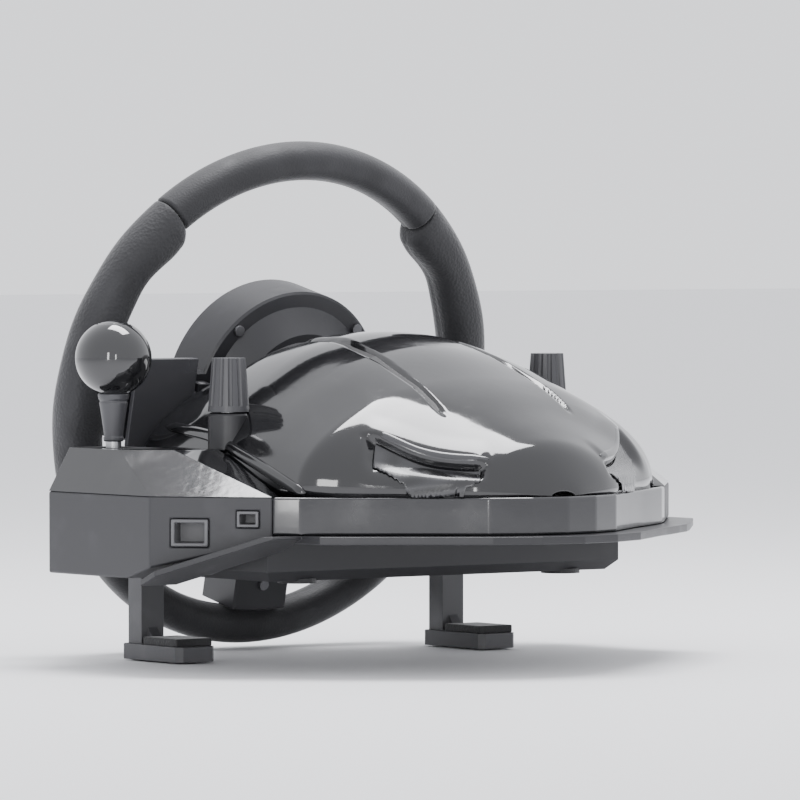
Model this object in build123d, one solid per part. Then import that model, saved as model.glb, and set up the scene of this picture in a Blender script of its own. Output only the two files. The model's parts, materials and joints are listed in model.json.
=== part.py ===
from build123d import *
import math
import os

# Racing wheel for a games computer: steering wheel, base with a car-like nose, shift lever and clamps.
# Millimetres. The driver sits at -Y and looks along +Y; +X is the driver's right, +Z is up.
# The origin is the centre of the flat underside that rests on the table.

# Steering wheel
wheel_centre_y = -95.0
wheel_centre_z = 91.0
wheel_tilt = 13.0            # degrees that the shaft falls towards the nose
rim_diameter = 270.0
sleeve_width = 20.0          # rim section measured along the radius
sleeve_thickness = 22.0      # rim section measured along the shaft
grip_width = 26.0
grip_thickness = 26.0
grip_low_angle = -35.0       # degrees above the driver's right-hand spoke
grip_high_angle = 50.0
grip_joint_gap = 0.4         # degrees between a grip and a sleeve
ring_radius = 6.0            # bar of the metal frame inside the rim
mould_gap = 0.05
ring_inset = 1.0              # frame ring from the middle of the sleeve's section
frame_hole_gap = 0.5
frame_thickness = 6.0
frame_spoke_height = 22.0
hub_radius = 58.0
wing_top = 16.0
wing_bottom = -20.0
lower_spoke_width = 34.0
front_cover_depth = 16.0
rear_cover_depth = 14.0
cover_wall = 2.5
frame_gap = 0.5
dome_depth = 11.0
dome_base_radius = 50.0
dome_end_radius = 38.0
neck_radius = 18.0
neck_length = 19.0
hub_screw_circle = 53.5
cover_chamfer = 1.2
boss_wall = 2.0
boss_gap = 0.2               # between a screw boss and the frame
boss_root = 0.5
wing_screw_x = 94.0
spoke_screw_y = 100.0
cap_radius = 29.0
cap_height = 5.0
cap_seat = 1.0
cap_round = 3.0
board_thickness = 1.6
board_height = 5.0
board_edge_gap = 3.0
board_boss_gap = 0.5
hub_head_height = 1.6
hub_screw_tip_gap = 2.0

# Buttons of the steering wheel
button_radius = 4.25
button_gap = 0.3
button_flange = 1.0
button_flange_height = 1.6
button_proud = 3.0
button_travel_room = 0.4
key_round = 0.8
key_root = 0.5
action_centre_x = 74.0
action_centre_y = -1.0
action_pitch = 8.8
dpad_centre_x = -74.0
dpad_length = 24.0
dpad_arm = 8.5
dpad_gap = 0.6               # room for the pad to rock in its opening
dpad_barrel_radius = 2.0
dpad_barrel_length = 10.0
dpad_flange_reach = 1.0
dpad_flange_height = 1.4
dpad_rock_room = 1.4
dpad_round = 0.5
option_length = 14.0
option_width = 6.0
option_x = 30.0
option_y = -34.0

# Shift paddles
paddle_pivot_x = 60.0
paddle_pivot_z = -18.5
paddle_barrel_radius = 4.0
paddle_barrel_length = 18.0
paddle_pin_radius = 2.0
paddle_reach = 44.0
paddle_height = 54.0
paddle_blade = 3.0
ear_thickness = 4.0
pivot_gap = 0.3
running_gap = 0.05
pin_press_gap = 0.02
ear_half_width = 4.0
ear_reach = 3.5

# Shaft, bearings and gears
shaft_radius = 7.5
shaft_flange_radius = 20.0
shaft_flange_thickness = 6.0
shaft_end_z = -124.0
bearing_radius = 16.0
bearing_width = 9.0
block_half = 25.0
block_rear_z = -48.0
block_front_z = -108.0
plate_thickness = 4.0
plate_half_height = 20.0
pedestal_half_width = 22.0
pedestal_rear_y = -40.0
pedestal_front_y = 0.0
pedestal_top_z = 60.0
gear_module = 1.25
gear_teeth = 56
motor_teeth = 14
sensor_teeth = 28
gear_width = 8.0
gear_face_z = -120.0
gear_backlash = 0.3
pressure_angle = 20.0
tooth_addendum = 0.9         # modules
tooth_dedendum = 1.25
pinion_shift = 0.5
pinion_hole_gap = 1.5
motor_radius = 14.0
motor_length = 34.0
pinion_stub_radius = 1.5
pinion_stub_depth = 10.0
sensor_size = 18.0
sensor_depth = 10.0
stop_inner_radius = 18.0
stop_outer_radius = 27.0
stop_height = 3.0
stop_lug_gap = 0.5           # lug to the block, along the shaft and in degrees
stop_lug_inset = 1.0
stop_wall_inset = 2.5
bearing_shoulder = 3.0
bearing_seat_gap = 0.01
motor_plate_edge = 4.0
column_screw_inset = 7.0
stop_lug_half_angle = 7.0
steering_limit = 135.0

# Base
base_half_width = 166.0
base_wall = 3.0
hood_rear_y = -60.0
hood_half_width = 112.0
belt_top_z = 45.0
belt_bottom_z = 26.0
pod_inner_x = 113.0
pod_rear_y = -65.0
pod_front_y = 30.0
pod_corner = 6.0
pod_top_z = 67.0
pod_top_front_y = 14.0
pod_top_inset = 8.0
pod_top_rear_y = -58.0
pod_top_corner = (18.0, 22.0)  # cut off the cover's front outer corner
pod_rise_start = 20.0        # behind the front corner
facet_a = (125.0, 77.0)
facet_b = (115.0, 87.0)
facet_c = (88.0, 107.0)
facet_d = (76.0, 115.0)
facet_e = (40.0, 143.0)
nose_y = 155.0
right_pod_bottom_z = 3.5
right_pod_rise = 19.6
right_lip_thickness = 3.0
right_lip_front_y = 88.0
lip_thickness = 4.0
lip_reach = 13.0
lip_tip_x = 172.0
lip_start_y = 22.0
lip_inner = 12.0
pan_half_x = 112.0
pan_half_y = 55.0
pan_bottom_z = 1.5
pan_chamfer = 5.0
mat_length = 120.0
mat_width = 50.0
foot_radius = 10.0
foot_x = 84.0
foot_y = 42.0
foot_depth = 2.5
foot_gap = 0.1
mat_hole_gap = 0.5
flange_gap = 0.2
rear_panel_thickness = 3.0
column_hole_radius = 20.0
screw_radius = 1.5
screw_head_radius = 2.8
screw_length = 14.0
screw_tip_gap = 2.0
screw_hole_gap = 0.3
pan_head_height = 1.8
pan_head_gap = 0.2

# Hood crown: share of the height kept flat and wide, and share that forms the centre bulge
hood_stations = [  # distance along Y, half width, height above the belt
    (hood_rear_y, hood_half_width, 66.0), (-20.0, hood_half_width, 79.0), (5.0, hood_half_width, 80.0),
    (40.0, hood_half_width, 73.0), (80.0, hood_half_width, 58.0), (95.0, 100.0, 51.0),
    (115.0, 74.0, 40.0), (130.0, 55.0, 31.0), (143.0, 37.0, 22.0), (151.0, 18.0, 12.0)]
shoulder_share = 0.62
crown_share = 0.38
vent_width = 7.0
vent_rear = (32.0, -27.0)
vent_front = (40.0, 103.0)
vent_depth = 1.2
rib_height = 1.5
rib_width = 5.0
rib_end_gap = 0.5
vent_keep = 1.0
rib_path = [(-50.0, 79.0), (-9.0, 76.0), (35.0, 65.0), (84.0, 48.0)]
light_inner = (38.0, 134.0)
light_outer = (77.0, 98.0)
light_sink = 3.0
light_z = 63.0
light_depth = 16.0
light_height = 14.0
light_gap = 0.3
lid_thickness = 2.5

# Shift lever
lever_x = 140.0
lever_y = -39.0
lever_pivot_z = 40.0
lever_ball_z = 112.0
ball_radius = 19.4
lever_rod_radius = 4.0
lever_barrel_radius = 6.0
lever_barrel_length = 11.4
lever_pin_radius = 2.5
neck_bottom_z = 70.0
neck_top_z = 95.0
neck_bottom_radius = 4.7
neck_top_radius = 8.25
gate_length = 42.0
gate_width = 28.0
gate_thickness = 3.0
gate_slot_length = 27.0
gate_slot_width = 12.0
gate_rear = 18.0             # behind the lever
gate_gap = 0.1
bracket_half_length = 8.0
bracket_top = 6.0            # above the pin
pin_end = 1.0

# Sockets in the right pod's front face
pedal_socket_at = 0.325      # share of the way along the face
pedal_socket_z = 27.0
pedal_socket_size = (19.0, 13.6)
pedal_plug_size = (15.0, 10.0)
shifter_socket_at = 0.80
shifter_socket_z = 34.0
shifter_socket_size = (11.0, 8.0)
shifter_plug_size = (8.0, 5.0)
socket_depth = 14.0
socket_gap = 0.15
socket_bezel = 0.8
socket_floor = 2.0

# Table clamps
clamp_y = 8.0
clamp_screw_radius = 4.0
clamp_screw_gap = 0.06
clamp_screw_bottom_z = 6.0
clamp_boss_wall = 2.5
clamp_boss_grip = 0.3
clamp_bar_width = 12.0
clamp_bar_bottom_z = 14.0
clamp_bar_height = 10.0
clamp_bar_front_y = 18.0
clamp_leg_x = 97.0
clamp_leg_width = 14.0
clamp_leg_rear_y = -78.0
clamp_leg_front_y = -66.0
jaw_bottom_z = -43.0
jaw_thickness = 8.0
jaw_width = 24.0
jaw_front_y = -26.0
jaw_pad_thickness = 4.0
jaw_pad_inset = 1.0
jaw_pad_rear_y = -59.0
jaw_pad_front_y = -29.0
jaw_corner = 3.0
gusset_width = 6.0
gusset_length = 6.0
gusset_height = 8.0
arm_rise = 21.0
arm_drop = 7.5
arm_room = 1.5
arm_side_room = 1.0
clamp_x = pan_half_x - base_wall - arm_side_room - clamp_bar_width / 2
collar_radius = 10.5
collar_bottom_z = 66.0
collar_top_z = 85.0
collar_chamfer = 1.0
knob_gap = 0.5
knob_bottom_radius = 10.5
knob_top_radius = 8.5
knob_top_z = 112.6
knob_flutes = 12
knob_flute_radius = 1.4
flute_start = 3.0            # above the knob's lower edge
flute_proud = 0.4
knob_screw_depth = 4.0       # below the knob's top

# Circuit board in the base
main_board_centre = (-20.0, 32.0)
main_board_size = (84.0, 34.0)
main_board_z = 12.0
standoff_radius = 3.0
standoff_inset = 5.0
chip_half = 8.0
chip_height = 2.0

sides = {"right": 1, "left": -1}
tilt = math.radians(wheel_tilt)
wheel_place = Plane(origin=(0, wheel_centre_y, wheel_centre_z), x_dir=(1, 0, 0),
                    z_dir=(0, -math.cos(tilt), math.sin(tilt))).location
rim_radius = rim_diameter / 2
sleeve_radius = rim_radius - sleeve_width / 2
grip_radius = rim_radius - grip_width / 2
frame_ring_radius = sleeve_radius - ring_inset
frame_front_z = frame_thickness / 2
pan_floor_z = pan_bottom_z + base_wall
big = 400.0


def slab(x0, x1, y0, y1, z0, z1):
    """Box between two corners."""
    return Pos((x0 + x1) / 2, (y0 + y1) / 2, (z0 + z1) / 2) * Box(x1 - x0, y1 - y0, z1 - z0)


def rod(radius, z0, z1, x=0.0, y=0.0):
    """Upright cylinder between two heights."""
    return Pos(x, y, (z0 + z1) / 2) * Cylinder(radius, z1 - z0)


def prism(outline, z0, z1):
    """Outline carried from one height to another."""
    return Pos(0, 0, z0) * extrude(outline, z1 - z0)


def across(points, x0, x1):
    """Outline in Y and Z carried along X between two places."""
    return extrude(Plane.YZ.offset(x0) * Polygon(*points, align=None), x1 - x0, dir=(1, 0, 0))


def both_sides(shape):
    """A piece and its mirror image in the YZ plane."""
    return [shape, mirror(shape, about=Plane.YZ)]


def on_side(shape, side):
    """The right-hand piece, or its mirror image for the left."""
    return shape if sides[side] > 0 else mirror(shape, about=Plane.YZ)


# Steering wheel, built about its own centre with Z along the shaft towards the driver

def ring_part(radius, width, thickness, start, end):
    """Elliptical section carried round the wheel between two angles."""
    section = Plane.XZ * Pos(radius, 0) * Ellipse(width / 2, thickness / 2)
    return Rot(0, 0, start) * revolve(section, Axis.Z, end - start)


def frame_spokes(gap):
    """Flat bars of the metal frame, grown by a gap on every face."""
    reach = frame_ring_radius
    height = frame_spoke_height + 2 * gap
    depth = frame_thickness + 2 * gap
    cross = Pos(0, (wing_top + wing_bottom) / 2) * Box(2 * reach, height, depth)
    down = Pos(0, -reach / 2) * Box(height, reach, depth)
    return cross + down


def wheel_frame():
    """Metal ring and spokes inside the rim, with screw holes for the covers and the shaft."""
    disc = Cylinder(hub_radius - cover_wall - frame_gap, frame_thickness)
    frame = disc + frame_spokes(0) + Torus(frame_ring_radius, ring_radius)
    for x, y in hub_screw_places():
        frame -= Pos(x, y) * Cylinder(screw_radius + frame_hole_gap, frame_thickness * 2)
    return frame


def rim_cavity():
    """Space that the frame takes inside the soft rim."""
    return Torus(frame_ring_radius, ring_radius + mould_gap) + frame_spokes(mould_gap)


def rim_sleeves():
    """Plain rim sections at the top and the bottom."""
    top = ring_part(sleeve_radius, sleeve_width, sleeve_thickness,
                    grip_high_angle + grip_joint_gap, 180 - grip_high_angle - grip_joint_gap)
    bottom = ring_part(sleeve_radius, sleeve_width, sleeve_thickness,
                       180 - grip_low_angle + grip_joint_gap, 360 + grip_low_angle - grip_joint_gap)
    return [top - rim_cavity(), bottom - rim_cavity()]


def rim_grips():
    """Thicker moulded grips at the two sides."""
    grip = ring_part(grip_radius, grip_width, grip_thickness, grip_low_angle, grip_high_angle)
    return both_sides(grip - rim_cavity())


def hub_outline(inset):
    """Front view of the hub covers: disc, two wings and a lower spoke."""
    reach = rim_radius - grip_width - frame_gap - inset
    wing_height = wing_top - wing_bottom - 2 * inset
    wings = Pos(0, (wing_top + wing_bottom) / 2) * Rectangle(2 * rim_radius, wing_height)
    wings = wings & Circle(reach)
    low_reach = rim_radius - sleeve_width - frame_gap - inset
    lower = Pos(0, -rim_radius / 2) * Rectangle(lower_spoke_width - 2 * inset, rim_radius)
    lower = lower & Circle(low_reach)
    return Circle(hub_radius - inset) + wings + lower


def hub_screw_places():
    """Screws that join the two hub covers through the frame."""
    x = hub_screw_circle * math.cos(math.radians(45))
    return [(wing_screw_x, -2.0), (-wing_screw_x, -2.0), (0.0, -spoke_screw_y), (x, x), (-x, x)]


def action_places():
    """Diamond of four buttons, named as seen by the driver."""
    x, y, step = action_centre_x, action_centre_y, action_pitch
    return {"top": (x, y + step), "bottom": (x, y - step), "left": (x - step, y), "right": (x + step, y)}


def dpad_outline(gap):
    """Rounded cross."""
    long = dpad_length + 2 * gap
    short = dpad_arm + 2 * gap
    cross = Rectangle(long, short) + Rectangle(short, long)
    return Pos(dpad_centre_x, action_centre_y) * fillet(cross.vertices(), 0.8)


def option_outline(side, grow):
    """Pill-shaped key."""
    pill = SlotOverall(option_length + 2 * grow, option_width + 2 * grow)
    return Pos(sides[side] * option_x, option_y) * pill


def hub_front_cover():
    """Cover on the driver's side with holes for every button and a seat for the cap."""
    depth = front_cover_depth
    cover = prism(hub_outline(0), 0, depth)
    cover = chamfer(cover.faces().sort_by(Axis.Z)[-1].edges(), cover_chamfer)
    cover -= prism(hub_outline(cover_wall), -1, depth - cover_wall)
    for x, y in hub_screw_places():
        cover += rod(screw_radius + boss_wall, frame_front_z + boss_gap, depth - cover_wall, x, y)
        cover -= rod(screw_radius + mould_gap, 0, depth - cover_wall - cap_seat, x, y)
    for x, y in action_places().values():
        cover -= rod(button_radius + button_gap, 0, depth + 1, x, y)
    cover -= prism(dpad_outline(dpad_gap), 0, depth + 1)
    for side in sides:
        cover -= prism(option_outline(side, button_gap), 0, depth + 1)
    cover -= rod(cap_radius + mould_gap, depth - cap_seat, depth + 1)
    return cover - frame_spokes(mould_gap)


def centre_cap():
    """Plain domed cap in the middle of the hub."""
    cap = rod(cap_radius, front_cover_depth - cap_seat, front_cover_depth + cap_height)
    return fillet(cap.edges().sort_by(Axis.Z)[-1], cap_round)


def paddle_ears():
    """Pairs of ears that carry the paddle pins, on the back of the wings."""
    middle = (wing_top + wing_bottom) / 2
    offset_y = paddle_barrel_length / 2 + pivot_gap + ear_thickness / 2
    ears = []
    for direction in (1, -1):
        for up in (1, -1):
            y = middle + up * offset_y
            x = direction * paddle_pivot_x
            ear = slab(x - ear_half_width, x + ear_half_width, y - ear_thickness / 2,
                       y + ear_thickness / 2, paddle_pivot_z - ear_reach, -rear_cover_depth)
            ears.append(ear)
    return ears


def paddle_axis_rod(x, radius, length):
    """Cylinder along the paddle's pivot."""
    middle = (wing_top + wing_bottom) / 2
    return Pos(x, middle, paddle_pivot_z) * Rot(90, 0, 0) * Cylinder(radius, length)


def hub_rear_cover():
    """Cover behind the spokes: flat wings, a domed boss and a neck round the shaft."""
    depth = rear_cover_depth
    dome_end = -depth - dome_depth
    cover = prism(hub_outline(0), -depth, 0)
    cover = chamfer(cover.faces().sort_by(Axis.Z)[0].edges(), cover_chamfer)
    cover += Pos(0, 0, -depth - dome_depth / 2) * Cone(dome_end_radius, dome_base_radius, dome_depth)
    cover += rod(neck_radius, dome_end - neck_length, dome_end)
    for ear in paddle_ears():
        cover += ear
    cover -= prism(hub_outline(cover_wall), -depth + cover_wall, 1)
    cavity_depth = dome_depth
    cover -= Pos(0, 0, -depth + cover_wall - cavity_depth / 2) * Cone(
        dome_end_radius - cover_wall, dome_base_radius - cover_wall, cavity_depth)
    cover -= rod(neck_radius - cover_wall, dome_end - neck_length - 1, 0)
    for x, y in hub_screw_places():
        cover += rod(screw_radius + boss_wall, -depth + cover_wall - boss_root,
                     -frame_front_z - boss_gap, x, y)
        cover -= rod(screw_radius + screw_hole_gap, -depth - 1, 0, x, y)
    pin_room = 2 * (paddle_barrel_length + 4 * ear_thickness)
    for direction in (1, -1):
        cover -= paddle_axis_rod(direction * paddle_pivot_x, paddle_pin_radius + pin_press_gap, pin_room)
    return cover - frame_spokes(mould_gap)


def hub_screws():
    """Screws from the back of the hub into the front cover."""
    head_z = -rear_cover_depth
    tip_z = front_cover_depth - cover_wall - hub_screw_tip_gap
    screws = []
    for x, y in hub_screw_places():
        head = rod(screw_head_radius, head_z - hub_head_height, head_z, x, y)
        screws.append(head + rod(screw_radius, head_z, tip_z, x, y))
    return screws


def wheel_board():
    """Circuit board under the buttons."""
    outline = hub_outline(cover_wall + board_edge_gap)
    board = prism(outline, board_height, board_height + board_thickness)
    for x, y in hub_screw_places():
        board -= rod(screw_radius + boss_wall + board_boss_gap, 0, front_cover_depth, x, y)
    return board


def round_button(x, y):
    """Round key with a flange that keeps it behind the cover."""
    top = front_cover_depth + button_proud
    flange_top = front_cover_depth - cover_wall - button_travel_room
    key = rod(button_radius, flange_top - key_root, top, x, y)
    key = fillet(key.edges().sort_by(Axis.Z)[-1], key_round)
    return key + rod(button_radius + button_flange, flange_top - button_flange_height, flange_top, x, y)


def dpad():
    """Direction pad that rocks on a barrel under its flange."""
    flange_top = front_cover_depth - cover_wall - dpad_rock_room
    pivot_z = flange_top - dpad_flange_height
    key = prism(dpad_outline(0), flange_top - key_root, front_cover_depth + button_proud)
    key = fillet(key.edges().sort_by(Axis.Z)[-1], dpad_round)
    disc = rod(dpad_length / 2 + dpad_flange_reach, pivot_z, flange_top, dpad_centre_x,
               action_centre_y)
    barrel = Pos(dpad_centre_x, action_centre_y, pivot_z) * Rot(90, 0, 0) * Cylinder(
        dpad_barrel_radius, dpad_barrel_length)
    return key + disc + barrel


def option_key(side):
    """Pill-shaped key with its flange."""
    flange_top = front_cover_depth - cover_wall - button_travel_room
    key = prism(option_outline(side, 0), flange_top - key_root, front_cover_depth + button_proud / 2)
    flange = prism(option_outline(side, button_flange), flange_top - button_flange_height, flange_top)
    return key + flange


def paddle(side):
    """Blade with a barrel on the hinge pin, for the driver's fingers."""
    middle = (wing_top + wing_bottom) / 2
    low = paddle_pivot_z - paddle_blade
    blade = slab(paddle_pivot_x, paddle_pivot_x + paddle_reach, middle - paddle_height / 2,
                 middle + paddle_height / 2, low, paddle_pivot_z)
    blade = fillet(blade.edges().filter_by(Axis.Z), 8.0)
    notch = slab(paddle_pivot_x - 1, paddle_pivot_x + 6, -big, big, low - 1, 0)
    root = slab(paddle_pivot_x, paddle_pivot_x + 8, middle - paddle_barrel_length / 2,
                middle + paddle_barrel_length / 2, low, paddle_pivot_z)
    barrel = paddle_axis_rod(paddle_pivot_x, paddle_barrel_radius, paddle_barrel_length)
    body = blade - notch + root + barrel
    body -= paddle_axis_rod(paddle_pivot_x, paddle_pin_radius + running_gap, 2 * paddle_height)
    return on_side(body, side)


def paddle_pins():
    """Hinge pins of the paddles."""
    length = paddle_barrel_length + 2 * pivot_gap + 2 * ear_thickness
    return both_sides(paddle_axis_rod(paddle_pivot_x, paddle_pin_radius, length))


# Shaft and gears, in the same frame as the steering wheel

def steering_shaft():
    """Shaft with the flange that the wheel frame is bolted to."""
    flange = rod(shaft_flange_radius, -frame_front_z - shaft_flange_thickness, -frame_front_z)
    return flange + rod(shaft_radius, shaft_end_z, -frame_front_z)


def bearings():
    """The two ball bearings, each as one ring with its rolling clearance."""
    rings = []
    for low in (block_rear_z - bearing_width, block_front_z):
        ring = rod(bearing_radius, low, low + bearing_width)
        rings.append(ring - rod(shaft_radius + running_gap, low - 1, low + bearing_width + 1))
    return rings


def involute_gear(teeth, backlash):
    """Spur gear outline: involute flanks between the root and the tip circles."""
    pitch_radius = gear_module * teeth / 2
    base_radius = pitch_radius * math.cos(math.radians(pressure_angle))
    tip_radius = pitch_radius + tooth_addendum * gear_module
    root_radius = pitch_radius - tooth_dedendum * gear_module
    pitch_roll = math.sqrt((pitch_radius / base_radius) ** 2 - 1)
    half_tooth = (math.pi * gear_module / 2 - backlash) / (2 * pitch_radius)
    shift = half_tooth + pitch_roll - math.atan(pitch_roll)
    tip_roll = math.sqrt((tip_radius / base_radius) ** 2 - 1)
    flank = []
    steps = 4
    for i in range(steps + 1):
        roll = tip_roll * i / steps
        radius = base_radius * math.sqrt(1 + roll ** 2)
        flank.append((radius, shift - (roll - math.atan(roll))))
    flank.insert(0, (min(root_radius, base_radius), shift))
    points = []
    for tooth in range(teeth):
        centre = 2 * math.pi * tooth / teeth
        for radius, angle in flank:
            points.append((radius * math.cos(centre - angle), radius * math.sin(centre - angle)))
        for radius, angle in reversed(flank):
            points.append((radius * math.cos(centre + angle), radius * math.sin(centre + angle)))
    return Polygon(*points, align=None)


def sector(inner, outer, middle, half_angle, z0, z1):
    """Wedge of a ring about the shaft, with its angles in degrees."""
    wedge = Plane.XZ * Pos((inner + outer) / 2, (z0 + z1) / 2) * Rectangle(outer - inner, z1 - z0)
    return Rot(0, 0, middle - half_angle) * revolve(wedge, Axis.Z, 2 * half_angle)


def steering_gear():
    """Large gear on the shaft with the lug of the end stop."""
    gear = prism(involute_gear(gear_teeth, gear_backlash / 2), gear_face_z, gear_face_z + gear_width)
    gear += sector(stop_inner_radius + stop_lug_inset, stop_outer_radius - stop_lug_inset, 90,
                   stop_lug_half_angle, gear_face_z + gear_width, block_front_z - stop_lug_gap)
    return gear - rod(shaft_radius, gear_face_z - 1, block_front_z)


def pinion_place(teeth, direction):
    """Where a pinion sits beside the large gear."""
    return direction * gear_module * (gear_teeth + teeth) / 2


def pinion(teeth, direction):
    """Small gear with its stub shaft, turned so that a gap meets the large gear's tooth."""
    x = pinion_place(teeth, direction)
    toward = 180 if direction > 0 else 0
    half_pitch = 180 / teeth
    outline = Rot(0, 0, toward + half_pitch) * involute_gear(teeth, gear_backlash / 2)
    wheel = prism(outline, gear_face_z - pinion_shift, gear_face_z + gear_width - pinion_shift)
    stub_top = block_front_z + plate_thickness + pinion_stub_depth
    return Pos(x, 0, 0) * (wheel + rod(pinion_stub_radius, gear_face_z, stub_top))


def motor():
    """Feedback motor behind the mounting plate."""
    x = pinion_place(motor_teeth, 1)
    low = block_front_z + plate_thickness
    body = rod(motor_radius, low, low + motor_length, x)
    body = fillet(body.edges().sort_by(Axis.Z)[-1], 2.0)
    return body - rod(pinion_stub_radius + running_gap, low - 1, low + pinion_stub_depth + 1, x)


def position_sensor():
    """Rotary sensor behind the mounting plate."""
    x = pinion_place(sensor_teeth, -1)
    low = block_front_z + plate_thickness
    body = Pos(x, 0, low + sensor_depth / 2 + 1) * Box(sensor_size, sensor_size, sensor_depth + 2)
    return body - rod(pinion_stub_radius + running_gap, low - 1, low + pinion_stub_depth + 1, x)


def column_block():
    """Bearing block on its pedestal, with the motor plate and the end stop. World frame."""
    block = slab(-block_half, block_half, -block_half, block_half, block_front_z, block_rear_z)
    motor_x = pinion_place(motor_teeth, 1)
    sensor_x = pinion_place(sensor_teeth, -1)
    block += slab(sensor_x - sensor_size, motor_x + motor_radius + motor_plate_edge,
                  -plate_half_height, plate_half_height, block_front_z,
                  block_front_z + plate_thickness)
    lug_clear = stop_lug_half_angle + stop_lug_gap
    stop_half = 180 - steering_limit - lug_clear
    block += sector(stop_inner_radius, stop_outer_radius - stop_wall_inset, -90, stop_half,
                    block_front_z - stop_height, block_front_z)
    bore = rod(bearing_radius - bearing_shoulder, block_front_z - stop_height - 1, block_rear_z + 1)
    for low in (block_rear_z - bearing_width, block_front_z):
        bore += rod(bearing_radius, low - bearing_seat_gap, low + bearing_width + bearing_seat_gap)
    for x in (motor_x, sensor_x):
        bore += rod(pinion_stub_radius + pinion_hole_gap, block_front_z - 1,
                    block_front_z + plate_thickness + 1, x)
    pedestal = slab(-pedestal_half_width, pedestal_half_width, pedestal_rear_y, pedestal_front_y,
                    pan_floor_z, pedestal_top_z)
    whole = wheel_place * block + pedestal
    whole -= wheel_place * bore
    for x, y in column_screw_places():
        whole -= rod(screw_radius + mould_gap, pan_floor_z - 1, pan_floor_z + screw_length, x, y)
    return whole


def column_screw_places():
    """Screws from under the pan into the pedestal."""
    x = pedestal_half_width - column_screw_inset
    rear = pedestal_rear_y + column_screw_inset
    front = pedestal_front_y - column_screw_inset
    return [(x, rear), (-x, rear), (x, front), (-x, front)]


def column_screws():
    """The four screws of the bearing block."""
    top = pan_floor_z + screw_length - screw_tip_gap
    head_top = pan_bottom_z + pan_head_height
    return [rod(screw_head_radius, pan_bottom_z, head_top, x, y)
            + rod(screw_radius, head_top, top, x, y) for x, y in column_screw_places()]


# Base, world frame

def base_outline():
    """Plan of the whole base, swept back from the nose by flat facets."""
    half = [(base_half_width - pod_corner, pod_rear_y), (base_half_width, pod_rear_y + pod_corner),
            (base_half_width, pod_front_y), facet_a, facet_b, facet_c, facet_d, facet_e]
    mirrored = [(-x, y) for x, y in reversed(half)]
    return Polygon(*half, (facet_e[0] / 2, nose_y - 3), (0, nose_y), (-facet_e[0] / 2, nose_y - 3),
                   *mirrored, align=None)


def hood_height(share):
    """Height of the hood's section at a share of its half width, from 0 to 1."""
    flat = (1 - share ** 4) ** 0.4
    bulge = (1 - share ** 2) ** 1.5
    return shoulder_share * flat + crown_share * bulge


def hood_section(y, half_width, height):
    """Section of the hood across the car-like body at one distance along Y."""
    shares = [-1.0, -0.97, -0.9, -0.75, -0.55, -0.3, 0.0, 0.3, 0.55, 0.75, 0.9, 0.97, 1.0]
    points = [(half_width * s, y, belt_top_z + height * hood_height(abs(s))) for s in shares]
    crown = Spline(*points)
    foot = Line(points[-1], points[0])
    return make_face([crown, foot])


def hood_solid(inset):
    """Whole hood shape, shrunk by an inset or grown by a negative one."""
    faces = []
    last = len(hood_stations) - 1
    for index, (y, half_width, height) in enumerate(hood_stations):
        place = y - inset if index == last else y
        faces.append(hood_section(place, half_width - inset, height - inset))
    return loft(faces, ruled=True)


def vent_slots():
    """Upright prisms along the two vent grooves."""
    dx = vent_front[0] - vent_rear[0]
    dy = vent_front[1] - vent_rear[1]
    angle = math.degrees(math.atan2(dy, dx))
    length = math.hypot(dx, dy)
    slot = Pos((vent_front[0] + vent_rear[0]) / 2, (vent_front[1] + vent_rear[1]) / 2) * Rot(
        0, 0, angle) * SlotOverall(length, vent_width)
    return both_sides(prism(slot, belt_top_z + 5, belt_top_z + 100))


def light_frame():
    """Place of the right headlight: X along it, Z up, Y away from the nose."""
    dx = light_outer[0] - light_inner[0]
    dy = light_outer[1] - light_inner[1]
    middle = ((light_inner[0] + light_outer[0]) / 2, (light_inner[1] + light_outer[1]) / 2, light_z)
    return Plane(origin=middle, x_dir=(dx, dy, 0), z_dir=(0, 0, 1)).location * Pos(0, -light_sink, 0)


def light_length():
    """Length of a headlight."""
    return math.hypot(light_outer[0] - light_inner[0], light_outer[1] - light_inner[1])


def headlight_recesses():
    """Dark cups let into the hood's front corners."""
    length = light_length()
    cup = Box(length, light_depth, light_height)
    hollow = Pos(0, 2, 0) * Box(length - 4, light_depth, light_height - 4)
    return both_sides(light_frame() * (cup - hollow))


def headlight_lids():
    """Raised lids over the headlights."""
    length = light_length() + 6
    lid = Pos(0, -1, light_height / 2 + light_gap + lid_thickness / 2) * Box(
        length, light_depth + 2, lid_thickness)
    lid = fillet(lid.edges().filter_by(Axis.Z), 3.0)
    return both_sides(light_frame() * lid)


def light_room():
    """Space that one headlight and its lid take out of the hood."""
    length = light_length() + 6 + 2 * light_gap
    top = light_height / 2 + 2 * light_gap + lid_thickness
    bottom = -light_height / 2 - light_gap
    box = Pos(0, 0, (top + bottom) / 2) * Box(length, light_depth + 5, top - bottom)
    return both_sides(light_frame() * box)


def knob_cut(radius):
    """Upright cylinders on the two clamp screws."""
    return [rod(radius, clamp_screw_bottom_z, knob_top_z, direction * clamp_x, clamp_y)
            for direction in sides.values()]


def hood():
    """Glossy upper shell with openings for the vents, headlights and clamp knobs."""
    shell = hood_solid(0) - hood_solid(base_wall) - slab(
        -hood_half_width + base_wall, hood_half_width - base_wall, hood_rear_y - 1,
        hood_rear_y + 4, 0, belt_top_z + 50)
    for cut in vent_slots() + light_room() + knob_cut(collar_radius + mould_gap):
        shell -= cut
    return shell


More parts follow.
